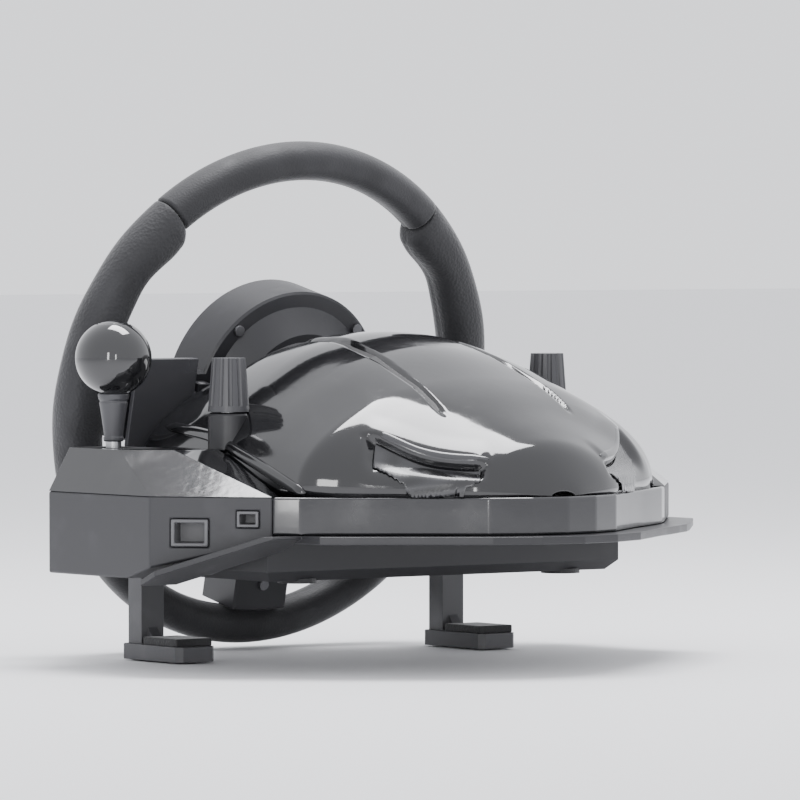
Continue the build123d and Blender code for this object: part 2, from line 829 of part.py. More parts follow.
def rear_panel():
    """Upright panel inside the hood's rear edge with openings for the shaft and the clamp bars."""
    y, half_width, height = hood_stations[0]
    inset = base_wall + mould_gap
    face = hood_section(y + 1, half_width - inset, height - inset - 1)
    panel = extrude(face, rear_panel_thickness, dir=(0, 1, 0))
    panel += slab(-half_width + inset, half_width - inset, y + 1, y + 1 + rear_panel_thickness,
                  belt_bottom_z, belt_top_z)
    panel -= wheel_place * rod(column_hole_radius, -big / 2, 0)
    for path in arm_paths():
        panel -= path
    return panel


def hood_vents():
    """Dark strips that fill the vent grooves below the hood's surface."""
    skin = hood_solid(vent_depth) - hood_solid(base_wall + vent_keep)
    return [skin & slot for slot in vent_slots()]


def rib_trims():
    """Raised bead that falls along each side of the hood to the belt."""
    lower = [(y, z - rib_width) for y, z in reversed(rib_path)]
    skin = hood_solid(-rib_height) - hood_solid(0)
    rib = skin & across(rib_path + lower, hood_half_width / 2, 2 * hood_half_width)
    for cut in knob_cut(collar_radius + rib_end_gap):
        rib -= cut
    return both_sides(rib)


def pod_plan(inset):
    """Plan of the right pod."""
    points = [(pod_inner_x, pod_rear_y), (base_half_width - pod_corner, pod_rear_y),
              (base_half_width, pod_rear_y + pod_corner), (base_half_width, pod_front_y), facet_a,
              (pod_inner_x, facet_a[1] - 10)]
    plan = Polygon(*points, align=None)
    return offset(plan, -inset, kind=Kind.INTERSECTION) if inset else plan


def pod_top_plan(inset):
    """Top of the pod cover, drawn in from the plan."""
    outer = base_half_width - pod_top_inset - inset
    inner = pod_inner_x + inset
    rear = pod_top_rear_y + inset
    front = pod_top_front_y - inset
    points = [(inner, rear), (outer - pod_corner, rear), (outer, rear + pod_corner),
              (outer, front - pod_top_corner[1]), (outer - pod_top_corner[0], front),
              (inner, front)]
    return Polygon(*points, align=None)


def pod_lower(inset, bottom, rise):
    """Upright part of a pod; its floor rises towards the nose by the given amount."""
    floor = bottom + inset
    body = prism(pod_plan(inset), floor, belt_top_z)
    if rise:
        start = pod_front_y - pod_rise_start
        run = [(start, 0), (start, floor), (facet_a[1], floor + rise), (big, floor + rise), (big, 0)]
        body -= across(run, 0, big)
    return body


def pod_shell(side):
    """Lower shell of a pod, open at the top."""
    bottom = right_pod_bottom_z if side == "right" else belt_bottom_z
    rise = right_pod_rise if side == "right" else 0
    shell = pod_lower(0, bottom, rise) - pod_lower(base_wall, bottom, rise)
    if side == "right":
        for place, size in socket_places():
            width, height = size[0] + 2 * socket_gap, size[1] + 2 * socket_gap
            shell -= place * Box(width, height, 2 * socket_depth)
    return on_side(shell, side)


def pod_cover_solid(inset):
    """Sloped upper part of a pod."""
    low = Pos(0, 0, belt_top_z) * pod_plan(inset)
    high = Pos(0, 0, pod_top_z - inset) * pod_top_plan(inset)
    return loft([low, high])


def pod_cover(side):
    """Sloped top of a pod; the right one has the opening of the lever gate."""
    cover = pod_cover_solid(0) - pod_cover_solid(base_wall)
    if side == "right":
        cover -= gate_box(gate_gap, pod_top_z - gate_thickness - 2, pod_top_z + 1)
    return on_side(cover, side)


def gate_box(gap, z0, z1):
    """Space of the lever gate."""
    return slab(lever_x - gate_width / 2 - gap, lever_x + gate_width / 2 + gap,
                lever_y - gate_rear - gap, lever_y - gate_rear + gate_length + gap, z0, z1)


def lever_gate():
    """Plate in the pod's top with the slot that the lever moves in."""
    plate = gate_box(0, pod_top_z - gate_thickness, pod_top_z)
    slot = Pos(lever_x, lever_y) * Rot(0, 0, 90) * SlotOverall(gate_slot_length, gate_slot_width)
    return plate - prism(slot, pod_top_z - 2 * gate_thickness, pod_top_z + 1)


def socket_places():
    """Places of the two sockets on the pod's front face, with Z out of the face."""
    x0, y0 = base_half_width, pod_front_y
    dx, dy = facet_a[0] - x0, facet_a[1] - y0
    length = math.hypot(dx, dy)
    places = []
    for share, z, size in ((pedal_socket_at, pedal_socket_z, pedal_socket_size),
                           (shifter_socket_at, shifter_socket_z, shifter_socket_size)):
        place = Plane(origin=(x0 + share * dx, y0 + share * dy, z), x_dir=(dx, dy, 0),
                      z_dir=(dy / length, -dx / length, 0)).location
        places.append((place, size))
    return places


def socket(index, plug_size):
    """Moulded socket with its hollow for a plug."""
    place, size = socket_places()[index]
    body = Pos(0, 0, socket_bezel - socket_depth / 2) * Box(size[0], size[1], socket_depth)
    hollow = Pos(0, 0, socket_bezel - socket_depth / 2 + socket_floor) * Box(*plug_size, socket_depth)
    return place * (body - hollow)


def belt_frame():
    """Facetted band under the hood from pod to pod."""
    outer = prism(base_outline(), belt_bottom_z, belt_top_z)
    inner = prism(offset(base_outline(), -base_wall, kind=Kind.INTERSECTION),
                  belt_bottom_z - 1, belt_top_z + 1)
    band = outer - inner
    band -= slab(-big, big, -big, facet_a[1] - 9, 0, big)
    for pod in both_sides(prism(pod_plan(0), belt_bottom_z - 1, belt_top_z + 1)):
        band -= pod
    return band


def splitter_lip():
    """Thin lip that stands out under the belt at the front."""
    top = belt_bottom_z
    wide = offset(base_outline(), lip_reach, kind=Kind.INTERSECTION)
    narrow = offset(base_outline(), -lip_inner, kind=Kind.INTERSECTION)
    lip = prism(wide, top - lip_thickness, top) - prism(narrow, top - lip_thickness - 1, top + 1)
    lip &= slab(-lip_tip_x, facet_b[0], lip_start_y, big, 0, top + 1)
    slope = right_pod_rise / (facet_a[1] - pod_front_y)
    low_top = right_pod_bottom_z + slope * (lip_start_y - pod_front_y)
    high_top = right_pod_bottom_z + slope * (right_lip_front_y - pod_front_y)
    run = [(lip_start_y, low_top - right_lip_thickness),
           (right_lip_front_y, high_top - right_lip_thickness),
           (right_lip_front_y, high_top), (lip_start_y, low_top)]
    drop = prism(wide, 0, top) - prism(narrow, -1, top + 1)
    drop &= slab(facet_b[0] - 1, lip_tip_x, pod_front_y, right_lip_front_y, 0, top)
    drop &= across(run, 0, big)
    return lip + drop


def arm_paths():
    """Slots that the clamp bars slide in."""
    half = clamp_bar_width / 2 + arm_side_room
    low = clamp_bar_bottom_z - arm_drop - arm_room
    high = clamp_bar_bottom_z + clamp_bar_height + arm_rise + arm_room
    return both_sides(slab(clamp_x - half, clamp_x + half, -big / 2, -pan_half_y + base_wall + 1,
                           low, high))


def board_posts():
    """Places of the circuit board's standoffs."""
    cx, cy = main_board_centre
    dx = main_board_size[0] / 2 - standoff_inset
    dy = main_board_size[1] / 2 - standoff_inset
    return [(cx + sx * dx, cy + sy * dy) for sx in (1, -1) for sy in (1, -1)]


def bottom_pan():
    """Flat tub that rests on the table, with a flange under the belt."""
    tub = slab(-pan_half_x, pan_half_x, -pan_half_y, pan_half_y, pan_bottom_z, belt_bottom_z)
    tub = chamfer(tub.faces().sort_by(Axis.Z)[0].edges(), pan_chamfer)
    flange_outline = offset(base_outline(), -lip_inner - flange_gap, kind=Kind.INTERSECTION)
    flange = prism(flange_outline, belt_bottom_z - base_wall, belt_bottom_z)
    flange += slab(-pod_inner_x + 1, pod_inner_x - 1, hood_rear_y, 0, belt_bottom_z - base_wall,
                   belt_bottom_z)
    flange -= slab(pod_inner_x - 0.5, big, -big, big, 0, big)
    pan = tub + flange
    pan -= slab(-pan_half_x + base_wall, pan_half_x - base_wall, -pan_half_y + base_wall,
                pan_half_y - base_wall, pan_floor_z, belt_bottom_z + 1)
    for x, y in board_posts():
        pan += rod(standoff_radius, pan_floor_z - boss_root, main_board_z, x, y)
    for direction in sides.values():
        x = direction * clamp_x
        boss = rod(clamp_screw_radius + clamp_boss_wall, pan_floor_z - boss_root,
                   clamp_screw_bottom_z + clamp_boss_grip, x, clamp_y)
        pan += boss - rod(clamp_screw_radius + clamp_screw_gap, clamp_screw_bottom_z - boss_root,
                          belt_bottom_z, x, clamp_y)
    for path in arm_paths():
        pan -= path
    for x, y in column_screw_places():
        pan -= rod(screw_head_radius + pan_head_gap, 0, pan_bottom_z + pan_head_height, x, y)
        pan -= rod(screw_radius + screw_hole_gap, 0, pan_floor_z + 1, x, y)
    for foot in foot_shapes(foot_gap):
        pan -= foot
    return pan


def foot_shapes(gap):
    """Rubber mat and four round feet, grown by a gap."""
    shapes = [slab(-mat_length / 2 - gap, mat_length / 2 + gap, -mat_width / 2 - gap,
                   mat_width / 2 + gap, 0, foot_depth)]
    for sx in (1, -1):
        for sy in (1, -1):
            shapes.append(rod(foot_radius + gap, 0, foot_depth, sx * foot_x, sy * foot_y))
    for x, y in column_screw_places():
        shapes[0] -= rod(screw_head_radius + mat_hole_gap - gap, -1, foot_depth + 1, x, y)
    return shapes


def main_board():
    """Circuit board on its standoffs."""
    cx, cy = main_board_centre
    sx, sy = main_board_size
    board = slab(cx - sx / 2, cx + sx / 2, cy - sy / 2, cy + sy / 2, main_board_z,
                 main_board_z + board_thickness)
    chip_z = main_board_z + board_thickness
    chip = slab(cx - chip_half, cx + chip_half, cy - chip_half, cy + chip_half, chip_z,
                chip_z + chip_height)
    return board + chip


# Shift lever

def lever_axis_rod(radius, length):
    """Cylinder along the lever's pivot."""
    return Pos(lever_x, lever_y, lever_pivot_z) * Rot(0, 90, 0) * Cylinder(radius, length)


def lever_bracket():
    """Two ears on a foot that carry the lever's pin."""
    inner = lever_barrel_length / 2 + pivot_gap
    foot_z = right_pod_bottom_z + base_wall
    outer = inner + base_wall
    rear, front = lever_y - bracket_half_length, lever_y + bracket_half_length
    bracket = slab(lever_x - outer, lever_x + outer, rear, front, foot_z, lever_pivot_z + bracket_top)
    bracket -= slab(lever_x - inner, lever_x + inner, rear - 1, front + 1, foot_z + base_wall, big)
    return bracket - lever_axis_rod(lever_pin_radius, 4 * lever_barrel_length)


def lever_rod():
    """Steel rod of the lever with its barrel."""
    body = rod(lever_rod_radius, lever_pivot_z, lever_ball_z, lever_x, lever_y)
    body += lever_axis_rod(lever_barrel_radius, lever_barrel_length)
    return body - lever_axis_rod(lever_pin_radius + running_gap, 2 * lever_barrel_length)


def ball_solid():
    """Ball of the knob."""
    return Pos(lever_x, lever_y, lever_ball_z) * Sphere(ball_radius)


def lever_neck():
    """Collar that widens upwards to the ball."""
    height = neck_top_z - neck_bottom_z
    cone = Pos(lever_x, lever_y, neck_bottom_z + height / 2) * Cone(
        neck_bottom_radius, neck_top_radius, height)
    return cone - rod(lever_rod_radius, 0, big, lever_x, lever_y) - ball_solid()


def lever_ball():
    """Glossy ball knob."""
    return ball_solid() - rod(lever_rod_radius, 0, lever_ball_z, lever_x, lever_y)


# Table clamps

def knob_collar():
    """Ring through the hood that the clamp screw turns in."""
    collar = rod(collar_radius, collar_bottom_z, collar_top_z, clamp_x, clamp_y)
    collar = chamfer(collar.edges().sort_by(Axis.Z)[-1], collar_chamfer)
    return collar - rod(clamp_screw_radius + clamp_screw_gap, 0, big, clamp_x, clamp_y)


def clamp_knob(side):
    """Tapered fluted knob."""
    bottom = collar_top_z + knob_gap
    height = knob_top_z - bottom
    knob = Pos(0, 0, bottom + height / 2) * Cone(knob_bottom_radius, knob_top_radius, height)
    lean = math.degrees(math.atan2(knob_bottom_radius - knob_top_radius, height))
    middle = (knob_bottom_radius + knob_top_radius) / 2 + flute_proud
    for index in range(knob_flutes):
        flute = Pos(middle, 0, bottom + height / 2 + flute_start) * Rot(0, -lean, 0) * Cylinder(
            knob_flute_radius, height)
        knob -= Rot(0, 0, 360 / knob_flutes * index) * flute
    knob -= rod(clamp_screw_radius, 0, knob_top_z - knob_screw_depth)
    return on_side(Pos(clamp_x, clamp_y, 0) * knob, side)


def clamp_screw(side):
    """Screw from the knob down to the pan."""
    top = knob_top_z - knob_screw_depth
    screw = rod(clamp_screw_radius, clamp_screw_bottom_z, top, clamp_x, clamp_y)
    return on_side(screw, side)


def clamp_arm(side):
    """Bar on the screw, leg behind the base and jaw under the table."""
    half = clamp_bar_width / 2
    bar_top = clamp_bar_bottom_z + clamp_bar_height
    bar = slab(clamp_x - half, clamp_x + half, clamp_leg_rear_y, clamp_bar_front_y,
               clamp_bar_bottom_z, bar_top)
    leg = slab(clamp_leg_x - clamp_leg_width / 2, clamp_leg_x + clamp_leg_width / 2,
               clamp_leg_rear_y, clamp_leg_front_y, jaw_bottom_z, bar_top)
    jaw = slab(clamp_leg_x - jaw_width / 2, clamp_leg_x + jaw_width / 2, clamp_leg_rear_y,
               jaw_front_y, jaw_bottom_z, jaw_bottom_z + jaw_thickness)
    jaw = chamfer(jaw.edges().filter_by(Axis.Z), jaw_corner)
    jaw_top = jaw_bottom_z + jaw_thickness
    gusset = [(clamp_leg_front_y, jaw_top), (clamp_leg_front_y + gusset_length, jaw_top),
              (clamp_leg_front_y, jaw_top + gusset_height)]
    arm = bar + leg + jaw + across(gusset, clamp_leg_x - gusset_width / 2,
                                   clamp_leg_x + gusset_width / 2)
    arm -= rod(clamp_screw_radius + clamp_screw_gap, -big, big, clamp_x, clamp_y)
    return on_side(arm, side)


def jaw_pad(side):
    """Ribbed rubber pad on the jaw."""
    top = jaw_bottom_z + jaw_thickness
    half = jaw_width / 2 - jaw_pad_inset
    pad = slab(clamp_leg_x - half, clamp_leg_x + half, jaw_pad_rear_y, jaw_pad_front_y, top,
               top + jaw_pad_thickness)
    return on_side(pad, side)


def save(name, shape, place=None):
    """Write one node; a list becomes a group of separate solids."""
    solids = shape if isinstance(shape, list) else [shape]
    if place is not None:
        solids = [place * solid for solid in solids]
    found = [solid for item in solids for solid in item.solids()]
    export_step(Compound(children=found) if len(found) > 1 else found[0], f"parts/{name}.step")


os.makedirs("parts", exist_ok=True)
wheel_nodes = {
    "wheel_frame": wheel_frame(), "rim_sleeves": rim_sleeves(), "rim_grips": rim_grips(),
    "hub_front_cover": hub_front_cover(), "hub_rear_cover": hub_rear_cover(),
    "centre_cap": centre_cap(), "wheel_board": wheel_board(), "hub_screws": hub_screws(),
    "paddle_pins": paddle_pins(), "dpad": dpad(), "steering_shaft": steering_shaft(),
    "steering_gear": steering_gear(), "bearings": bearings(),
    "motor_pinion": pinion(motor_teeth, 1), "sensor_pinion": pinion(sensor_teeth, -1),
    "motor": motor(), "position_sensor": position_sensor()}
for side in sides:
    wheel_nodes[f"paddle_{side}"] = paddle(side)
    wheel_nodes[f"option_key_{side}"] = option_key(side)
for label, (x, y) in action_places().items():
    wheel_nodes[f"action_key_{label}"] = round_button(x, y)
for name, shape in wheel_nodes.items():
    save(name, shape, wheel_place)

base_nodes = {
    "column_block": column_block(), "column_screws": column_screws(), "hood": hood(),
    "hood_vents": hood_vents(), "rib_trims": rib_trims(), "headlight_recesses": headlight_recesses(),
    "headlight_lids": headlight_lids(), "rear_panel": rear_panel(), "belt_frame": belt_frame(),
    "splitter_lip": splitter_lip(), "bottom_pan": bottom_pan(), "rubber_feet": foot_shapes(0),
    "main_board": main_board(), "lever_gate": lever_gate(), "pedal_socket": socket(0, pedal_plug_size),
    "shifter_socket": socket(1, shifter_plug_size), "lever_bracket": lever_bracket(),
    "lever_pin": lever_axis_rod(lever_pin_radius, lever_barrel_length + 2 * (base_wall + pin_end)),
    "lever_rod": lever_rod(), "lever_neck": lever_neck(), "lever_ball": lever_ball(),
    "knob_collars": both_sides(knob_collar())}
for side in sides:
    base_nodes[f"{side}_pod_shell"] = pod_shell(side)
    base_nodes[f"{side}_pod_cover"] = pod_cover(side)
    base_nodes[f"clamp_knob_{side}"] = clamp_knob(side)
    base_nodes[f"clamp_screw_{side}"] = clamp_screw(side)
    base_nodes[f"clamp_arm_{side}"] = clamp_arm(side)
    base_nodes[f"jaw_pad_{side}"] = jaw_pad(side)
for name, shape in base_nodes.items():
    save(name, shape)
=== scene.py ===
import bmesh
import bpy
import json
import numpy as np
from math import cos, pi, radians, sin
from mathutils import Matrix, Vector


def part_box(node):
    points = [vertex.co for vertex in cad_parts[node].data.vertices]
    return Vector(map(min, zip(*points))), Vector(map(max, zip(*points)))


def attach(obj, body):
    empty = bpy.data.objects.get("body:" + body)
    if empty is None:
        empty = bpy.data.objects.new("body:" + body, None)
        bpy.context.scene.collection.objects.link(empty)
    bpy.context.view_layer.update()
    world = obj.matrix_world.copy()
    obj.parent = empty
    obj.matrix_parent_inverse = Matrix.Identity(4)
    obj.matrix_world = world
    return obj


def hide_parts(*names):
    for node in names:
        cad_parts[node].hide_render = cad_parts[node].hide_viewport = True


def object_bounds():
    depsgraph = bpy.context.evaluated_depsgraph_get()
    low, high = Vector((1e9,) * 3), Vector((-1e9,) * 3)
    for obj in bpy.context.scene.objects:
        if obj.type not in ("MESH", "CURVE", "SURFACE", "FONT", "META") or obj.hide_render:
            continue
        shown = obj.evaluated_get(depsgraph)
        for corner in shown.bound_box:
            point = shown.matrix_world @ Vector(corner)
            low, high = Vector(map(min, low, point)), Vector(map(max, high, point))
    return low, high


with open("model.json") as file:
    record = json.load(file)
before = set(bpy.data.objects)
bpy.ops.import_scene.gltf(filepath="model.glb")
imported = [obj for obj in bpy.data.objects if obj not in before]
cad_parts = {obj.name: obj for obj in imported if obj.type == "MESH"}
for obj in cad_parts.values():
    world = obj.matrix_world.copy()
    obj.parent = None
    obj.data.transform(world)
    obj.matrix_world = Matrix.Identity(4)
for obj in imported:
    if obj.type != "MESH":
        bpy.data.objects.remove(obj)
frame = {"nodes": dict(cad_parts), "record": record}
cad_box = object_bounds()

# ---------------------------------------------------------------------------------------------
# Camera, floor and studio light. The wheel unit is looked at from its front right, level with
# its deck, on a plain pale floor, with one soft light overhead and two strips at its front right.

scene = bpy.context.scene
box_low, box_high = np.array(cad_box[0]), np.array(cad_box[1])
box_middle = (box_low + box_high) / 2
view_azimuth = radians(143.0)
view_elevation = radians(1.5)
view_distance = 3.6
view_share = 0.86                # share of the view's width that the object fills
view_width = 0.352               # metres across the object, seen from there
view_towards = np.array([sin(view_azimuth) * cos(view_elevation),
                         -cos(view_azimuth) * cos(view_elevation), sin(view_elevation)])
camera_data = bpy.data.cameras.new("camera")
camera = bpy.data.objects.new("camera", camera_data)
scene.collection.objects.link(camera)
camera.location = box_middle + view_distance * view_towards
camera.rotation_euler = Vector(-view_towards).to_track_quat("-Z", "Y").to_euler()
camera_data.lens = camera_data.sensor_width * view_share * view_distance / view_width
camera_data.clip_end = 50.0
scene.camera = camera

floor_clearance = 0.0008
floor_mesh = bpy.data.meshes.new("floor")
floor_half = 14.0
floor_z = box_low[2] - floor_clearance
floor_mesh.from_pydata([(-floor_half, -floor_half, floor_z), (floor_half, -floor_half, floor_z),
                        (floor_half, floor_half, floor_z), (-floor_half, floor_half, floor_z)],
                       [], [(0, 1, 2, 3)])
floor = bpy.data.objects.new("floor", floor_mesh)
scene.collection.objects.link(floor)
floor_paint = bpy.data.materials.new("floor_paint")
floor_paint.use_nodes = True
floor_shader = floor_paint.node_tree.nodes["Principled BSDF"]
floor_shader.inputs["Base Color"].default_value = (0.86, 0.86, 0.87, 1.0)
floor_shader.inputs["Roughness"].default_value = 0.7
floor_mesh.materials.append(floor_paint)

world = bpy.data.worlds.new("studio")
world.use_nodes = True
fill = world.node_tree.nodes["Background"]
fill.inputs["Color"].default_value = (0.95, 0.96, 1.0, 1.0)
fill.inputs["Strength"].default_value = 1.5
scene.world = world


def soft_light(name, place, size, power, colour=(1.0, 1.0, 1.0)):
    """Rectangular studio light that faces the wheel unit's middle and isn't seen itself."""
    data = bpy.data.lights.new(name, "AREA")
    data.shape = "RECTANGLE"
    data.size, data.size_y = size
    data.energy = power
    data.color = colour
    light = bpy.data.objects.new(name, data)
    scene.collection.objects.link(light)
    light.location = place
    light.rotation_euler = Vector(box_middle - np.array(place)).to_track_quat("-Z", "Y").to_euler()
    light.visible_camera = False


soft_light("overhead_box", (-0.25, -0.10, 1.5), (1.0, 0.55), 34.0, (0.97, 0.97, 1.0))
soft_light("right_strip", (2.0, 1.5, 0.35), (0.22, 1.0), 9.0)
soft_light("nose_strip", (1.45, 2.45, 0.30), (0.14, 0.8), 5.0)

# ---------------------------------------------------------------------------------------------
# Rim sleeves: the plain upper and lower stretches of the rim, soft black rubber moulded over the
# metal ring, with a parting line round the inside and rounded ends beside the grips.


class Field:
    """One output of a material's nodes. Sums and products of fields add Math nodes."""

    def __init__(self, finish, socket):
        self.finish, self.socket = finish, socket

    def maths(self, operation, left, right):
        return self.finish.node("ShaderNodeMath", {"operation": operation}, {0: left, 1: right})

    def __add__(self, other):
        return self.maths("ADD", self, other)

    def __sub__(self, other):
        return self.maths("SUBTRACT", self, other)

    def __rsub__(self, other):
        return self.maths("SUBTRACT", other, self)

    def __mul__(self, other):
        return self.maths("MULTIPLY", self, other)

    __radd__ = __add__
    __rmul__ = __mul__


class Finish:
    """A material that is put together from fields."""

    def __init__(self, name, **constants):
        self.material = bpy.data.materials.new(name)
        self.material.use_nodes = True
        self.tree = self.material.node_tree
        self.shader = self.tree.nodes["Principled BSDF"]
        for socket, value in constants.items():
            self.shader.inputs[socket.replace("_", " ")].default_value = value
        self.place = self.node("ShaderNodeTexCoord", {}, {}, "Object")

    def node(self, kind, settings, inputs, output=0):
        """Any node: its settings are set first, then the values or links of its sockets."""
        made = self.tree.nodes.new(kind)
        for key, value in settings.items():
            setattr(made, key, value)
        for key, value in inputs.items():
            if isinstance(value, Field):
                self.tree.links.new(value.socket, made.inputs[key])
            else:
                made.inputs[key].default_value = value
        return Field(self, made.outputs[output])

    def noise(self, size, detail=2.0, stretch=(1.0, 1.0, 1.0), offset=(0.0, 0.0, 0.0)):
        """Cloudy pattern with patches of about a size in metres, from 0 to 1."""
        place = self.node("ShaderNodeMapping", {},
                          {"Vector": self.place, "Scale": stretch, "Location": offset})
        return self.node("ShaderNodeTexNoise", {}, {"Vector": place, "Scale": 1.0 / size, "Detail": detail})

    def cells(self, size):
        """Distance to the nearest grain of a pebbled skin, from 0 to about 1."""
        return self.node("ShaderNodeTexVoronoi", {}, {"Vector": self.place, "Scale": 1.0 / size})

    def ramp(self, field, low, high):
        """0 below low, 1 above high and smooth between."""
        return self.node("ShaderNodeMapRange", {"interpolation_type": "SMOOTHSTEP"},
                         {"Value": field, "From Min": low, "From Max": high})

    def mix(self, factor, first, second):
        """Colour between two colours."""
        return self.node("ShaderNodeMix", {"data_type": "RGBA"}, {0: factor, 6: first, 7: second}, 2)

    def feed(self, socket, field):
        """Link a field to the surface shader."""
        self.tree.links.new(field.socket, self.shader.inputs[socket])

    def bump(self, height, depth, edge=0.0):
        """Relief of a depth in metres; edge rounds a carried node's corners in the shading."""
        inputs = {"Height": height, "Distance": depth, "Strength": 1.0}
        if edge:
            inputs["Normal"] = self.node("ShaderNodeBevel", {"samples": 6}, {"Radius": edge})
        self.feed("Normal", self.node("ShaderNodeBump", {}, inputs))


def rubber(name, shade, grain, relief):
    """Matt rubber: pebbled grain, patches polished by hands, a little grey bloom."""
    finish = Finish(name, Sheen_Weight=0.22, Sheen_Roughness=0.45, Specular_IOR_Level=0.42)
    pebble = finish.cells(grain)
    worn = finish.ramp(finish.noise(0.035, 3.0), 0.42, 0.66)
    speck = finish.noise(0.0011, 1.0)
    dark = tuple(0.82 * c for c in shade) + (1.0,)
    light = tuple(1.35 * c for c in shade) + (1.0,)
    finish.feed("Base Color", finish.mix(worn * 0.55 + speck * 0.4, dark, light))
    finish.feed("Roughness", 0.62 - worn * 0.12 + speck * 0.08)
    finish.bump(pebble + finish.noise(0.004) * 0.6, relief)
    return finish.material


steering = next(j for j in frame["record"]["behaviour"]["joints"] if j["name"] == "steering")
hub_middle = np.array(steering["pos_m"])
shaft_axis = np.array(steering["axis"], dtype=float)
shaft_axis /= np.linalg.norm(shaft_axis)
wheel_right = np.array([1.0, 0.0, 0.0])
wheel_up = np.cross(shaft_axis, wheel_right)


def on_wheel(x, y, z):
    """Places given across, up and along the shaft from the wheel's middle, in the row's frame."""
    x, y, z = np.broadcast_arrays(x, y, z)
    return (hub_middle + x[..., None] * wheel_right + y[..., None] * wheel_up
            + z[..., None] * shaft_axis)


def sheet_mesh(name, points, wrap=True, close_start=False, close_end=False, flip=False):
    """Quads over a grid of points (rows, columns, 3). Columns wrap round; a closed start or end
    gathers its row to the row's middle."""
    rows, columns = points.shape[:2]
    vertices = points.reshape(-1, 3)
    index = np.arange(rows * columns).reshape(rows, columns)
    across = np.roll(index, -1, axis=1) if wrap else index[:, 1:]
    here = index if wrap else index[:, :-1]
    quads = np.stack([here[:-1], across[:-1], across[1:], here[1:]], axis=-1).reshape(-1, 4)
    faces = quads.tolist()
    extra = []
    for wanted, row, turn in ((close_start, 0, True), (close_end, rows - 1, False)):
        if wanted:
            middle = rows * columns + len(extra)
            extra.append(points[row].mean(axis=0))
            fan = [[a, b, middle] for a, b in zip(here[row].tolist(), across[row].tolist())]
            faces += [face[::-1] for face in fan] if turn else fan
    if extra:
        vertices = np.vstack([vertices, extra])
    if flip:
        faces = [face[::-1] for face in faces]
    mesh = bpy.data.meshes.new(name)
    mesh.from_pydata(vertices.tolist(), [], faces)
    mesh.polygons.foreach_set("use_smooth", np.ones(len(faces), dtype=bool))
    mesh.update()
    return mesh


def fit(name, mesh, body, slot, material, *nodes):
    """Put a finished mesh in the scene on its body, in place of its CAD nodes."""
    piece = bpy.data.objects.new(name, mesh)
    scene.collection.objects.link(piece)
    mesh.materials.append(material)
    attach(piece, body)
    if nodes:
        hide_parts(*nodes)
    return piece


def joined(name, meshes):
    """Several meshes as one."""
    whole = bmesh.new()
    for mesh in meshes:
        whole.from_mesh(mesh)
    result = bpy.data.meshes.new(name)
    whole.to_mesh(result)
    whole.free()
    return result


rim_radius = (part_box("rim_grips")[1][0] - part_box("rim_grips")[0][0]) / 2
sleeve_half_width = 0.0100
sleeve_half_depth = 0.0110
grip_half_width = 0.0130
grip_half_depth = 0.0124
grip_low, grip_high = radians(-35.0), radians(50.0)


def rim_part(name, start, end, half_width, half_depth, rows, columns=56):
    """Section carried round the wheel from one angle to another. The section is a rounded
    oval whose outer edge stays on the rim's circle; half_width and half_depth are functions of
    the share of the way round. The ends are rounded by shrinking the last rows."""
    crowding = 0.35
    share = 0.5 - 0.5 * np.cos(np.linspace(0, pi, rows))
    share = crowding * share + (1 - crowding) * np.linspace(0, 1, rows)
    angle = start + (end - start) * share
    length = abs(end - start) * rim_radius
    from_end = np.minimum(share, 1 - share) * length
    lip = 0.0012
    squareness = 2.25
    seam_depth, seam_spread = 0.045, 0.06
    shrink = lip * (1 - np.sqrt(np.clip(1 - (1 - np.clip(from_end / lip, 0, 1)) ** 2, 0, 1)))
    around = np.linspace(0, 2 * pi, columns, endpoint=False)
    wide = half_width(share)
    deep = half_depth(share)
    power = 2.0 / squareness
    oval_x = np.sign(np.cos(around)) * np.abs(np.cos(around)) ** power
    oval_z = np.sign(np.sin(around)) * np.abs(np.sin(around)) ** power
    seam = 1 - seam_depth * np.exp(-((around - pi) / seam_spread) ** 2)
    middle = rim_radius - wide
    radius = middle[:, None] + (wide - shrink)[:, None] * oval_x * seam
    depth = (deep - shrink)[:, None] * oval_z
    points = on_wheel(radius * np.cos(angle)[:, None], radius * np.sin(angle)[:, None], depth)
    return sheet_mesh(name, points, close_start=True, close_end=True, flip=end > start)


def plain(value):
    """The same size all the way along."""
    return lambda share: np.full_like(share, value)


rim_rubber = rubber("rim_rubber", (0.017, 0.017, 0.019), 0.0011, 0.00011)
joint_gap = radians(0.25)
sleeve_top = rim_part("top", grip_high + joint_gap, pi - grip_high - joint_gap,
                      plain(sleeve_half_width), plain(sleeve_half_depth), 120)
sleeve_bottom = rim_part("bottom", pi - grip_low + joint_gap, 2 * pi + grip_low - joint_gap,
                         plain(sleeve_half_width), plain(sleeve_half_depth), 150)
fit("rim_sleeve_skin", joined("rim_sleeve_skin", [sleeve_top, sleeve_bottom]), "steering_wheel",
    "rim_rubber", rim_rubber, "rim_sleeves")

# ---------------------------------------------------------------------------------------------
# Rim grips: thicker rubber at the two sides. Each starts with a thumb rest at its upper end, has
# shallow finger hollows at the back and thins towards its lower end.


def grip_ends(share):
    """From 0 to 1 over the last sixth before the lower end, and over the very top."""
    foot_share, head_share, head_start = 0.16, 0.035, 0.965
    foot = np.clip((foot_share - share) / foot_share, 0, 1) ** 1.6
    head = np.clip((share - head_start) / head_share, 0, 1) ** 2
    return foot, head


def grip_width(share):
    """Half width: full at the thumb rest near the top end, hollow below it, thinner at the foot."""
    rest = np.exp(-((share - 0.93) / 0.055) ** 2)
    waist = np.exp(-((share - 0.80) / 0.06) ** 2)
    foot, head = grip_ends(share)
    return grip_half_width - 0.0004 + 0.0008 * rest - 0.0007 * waist - 0.0024 * foot - 0.0022 * head


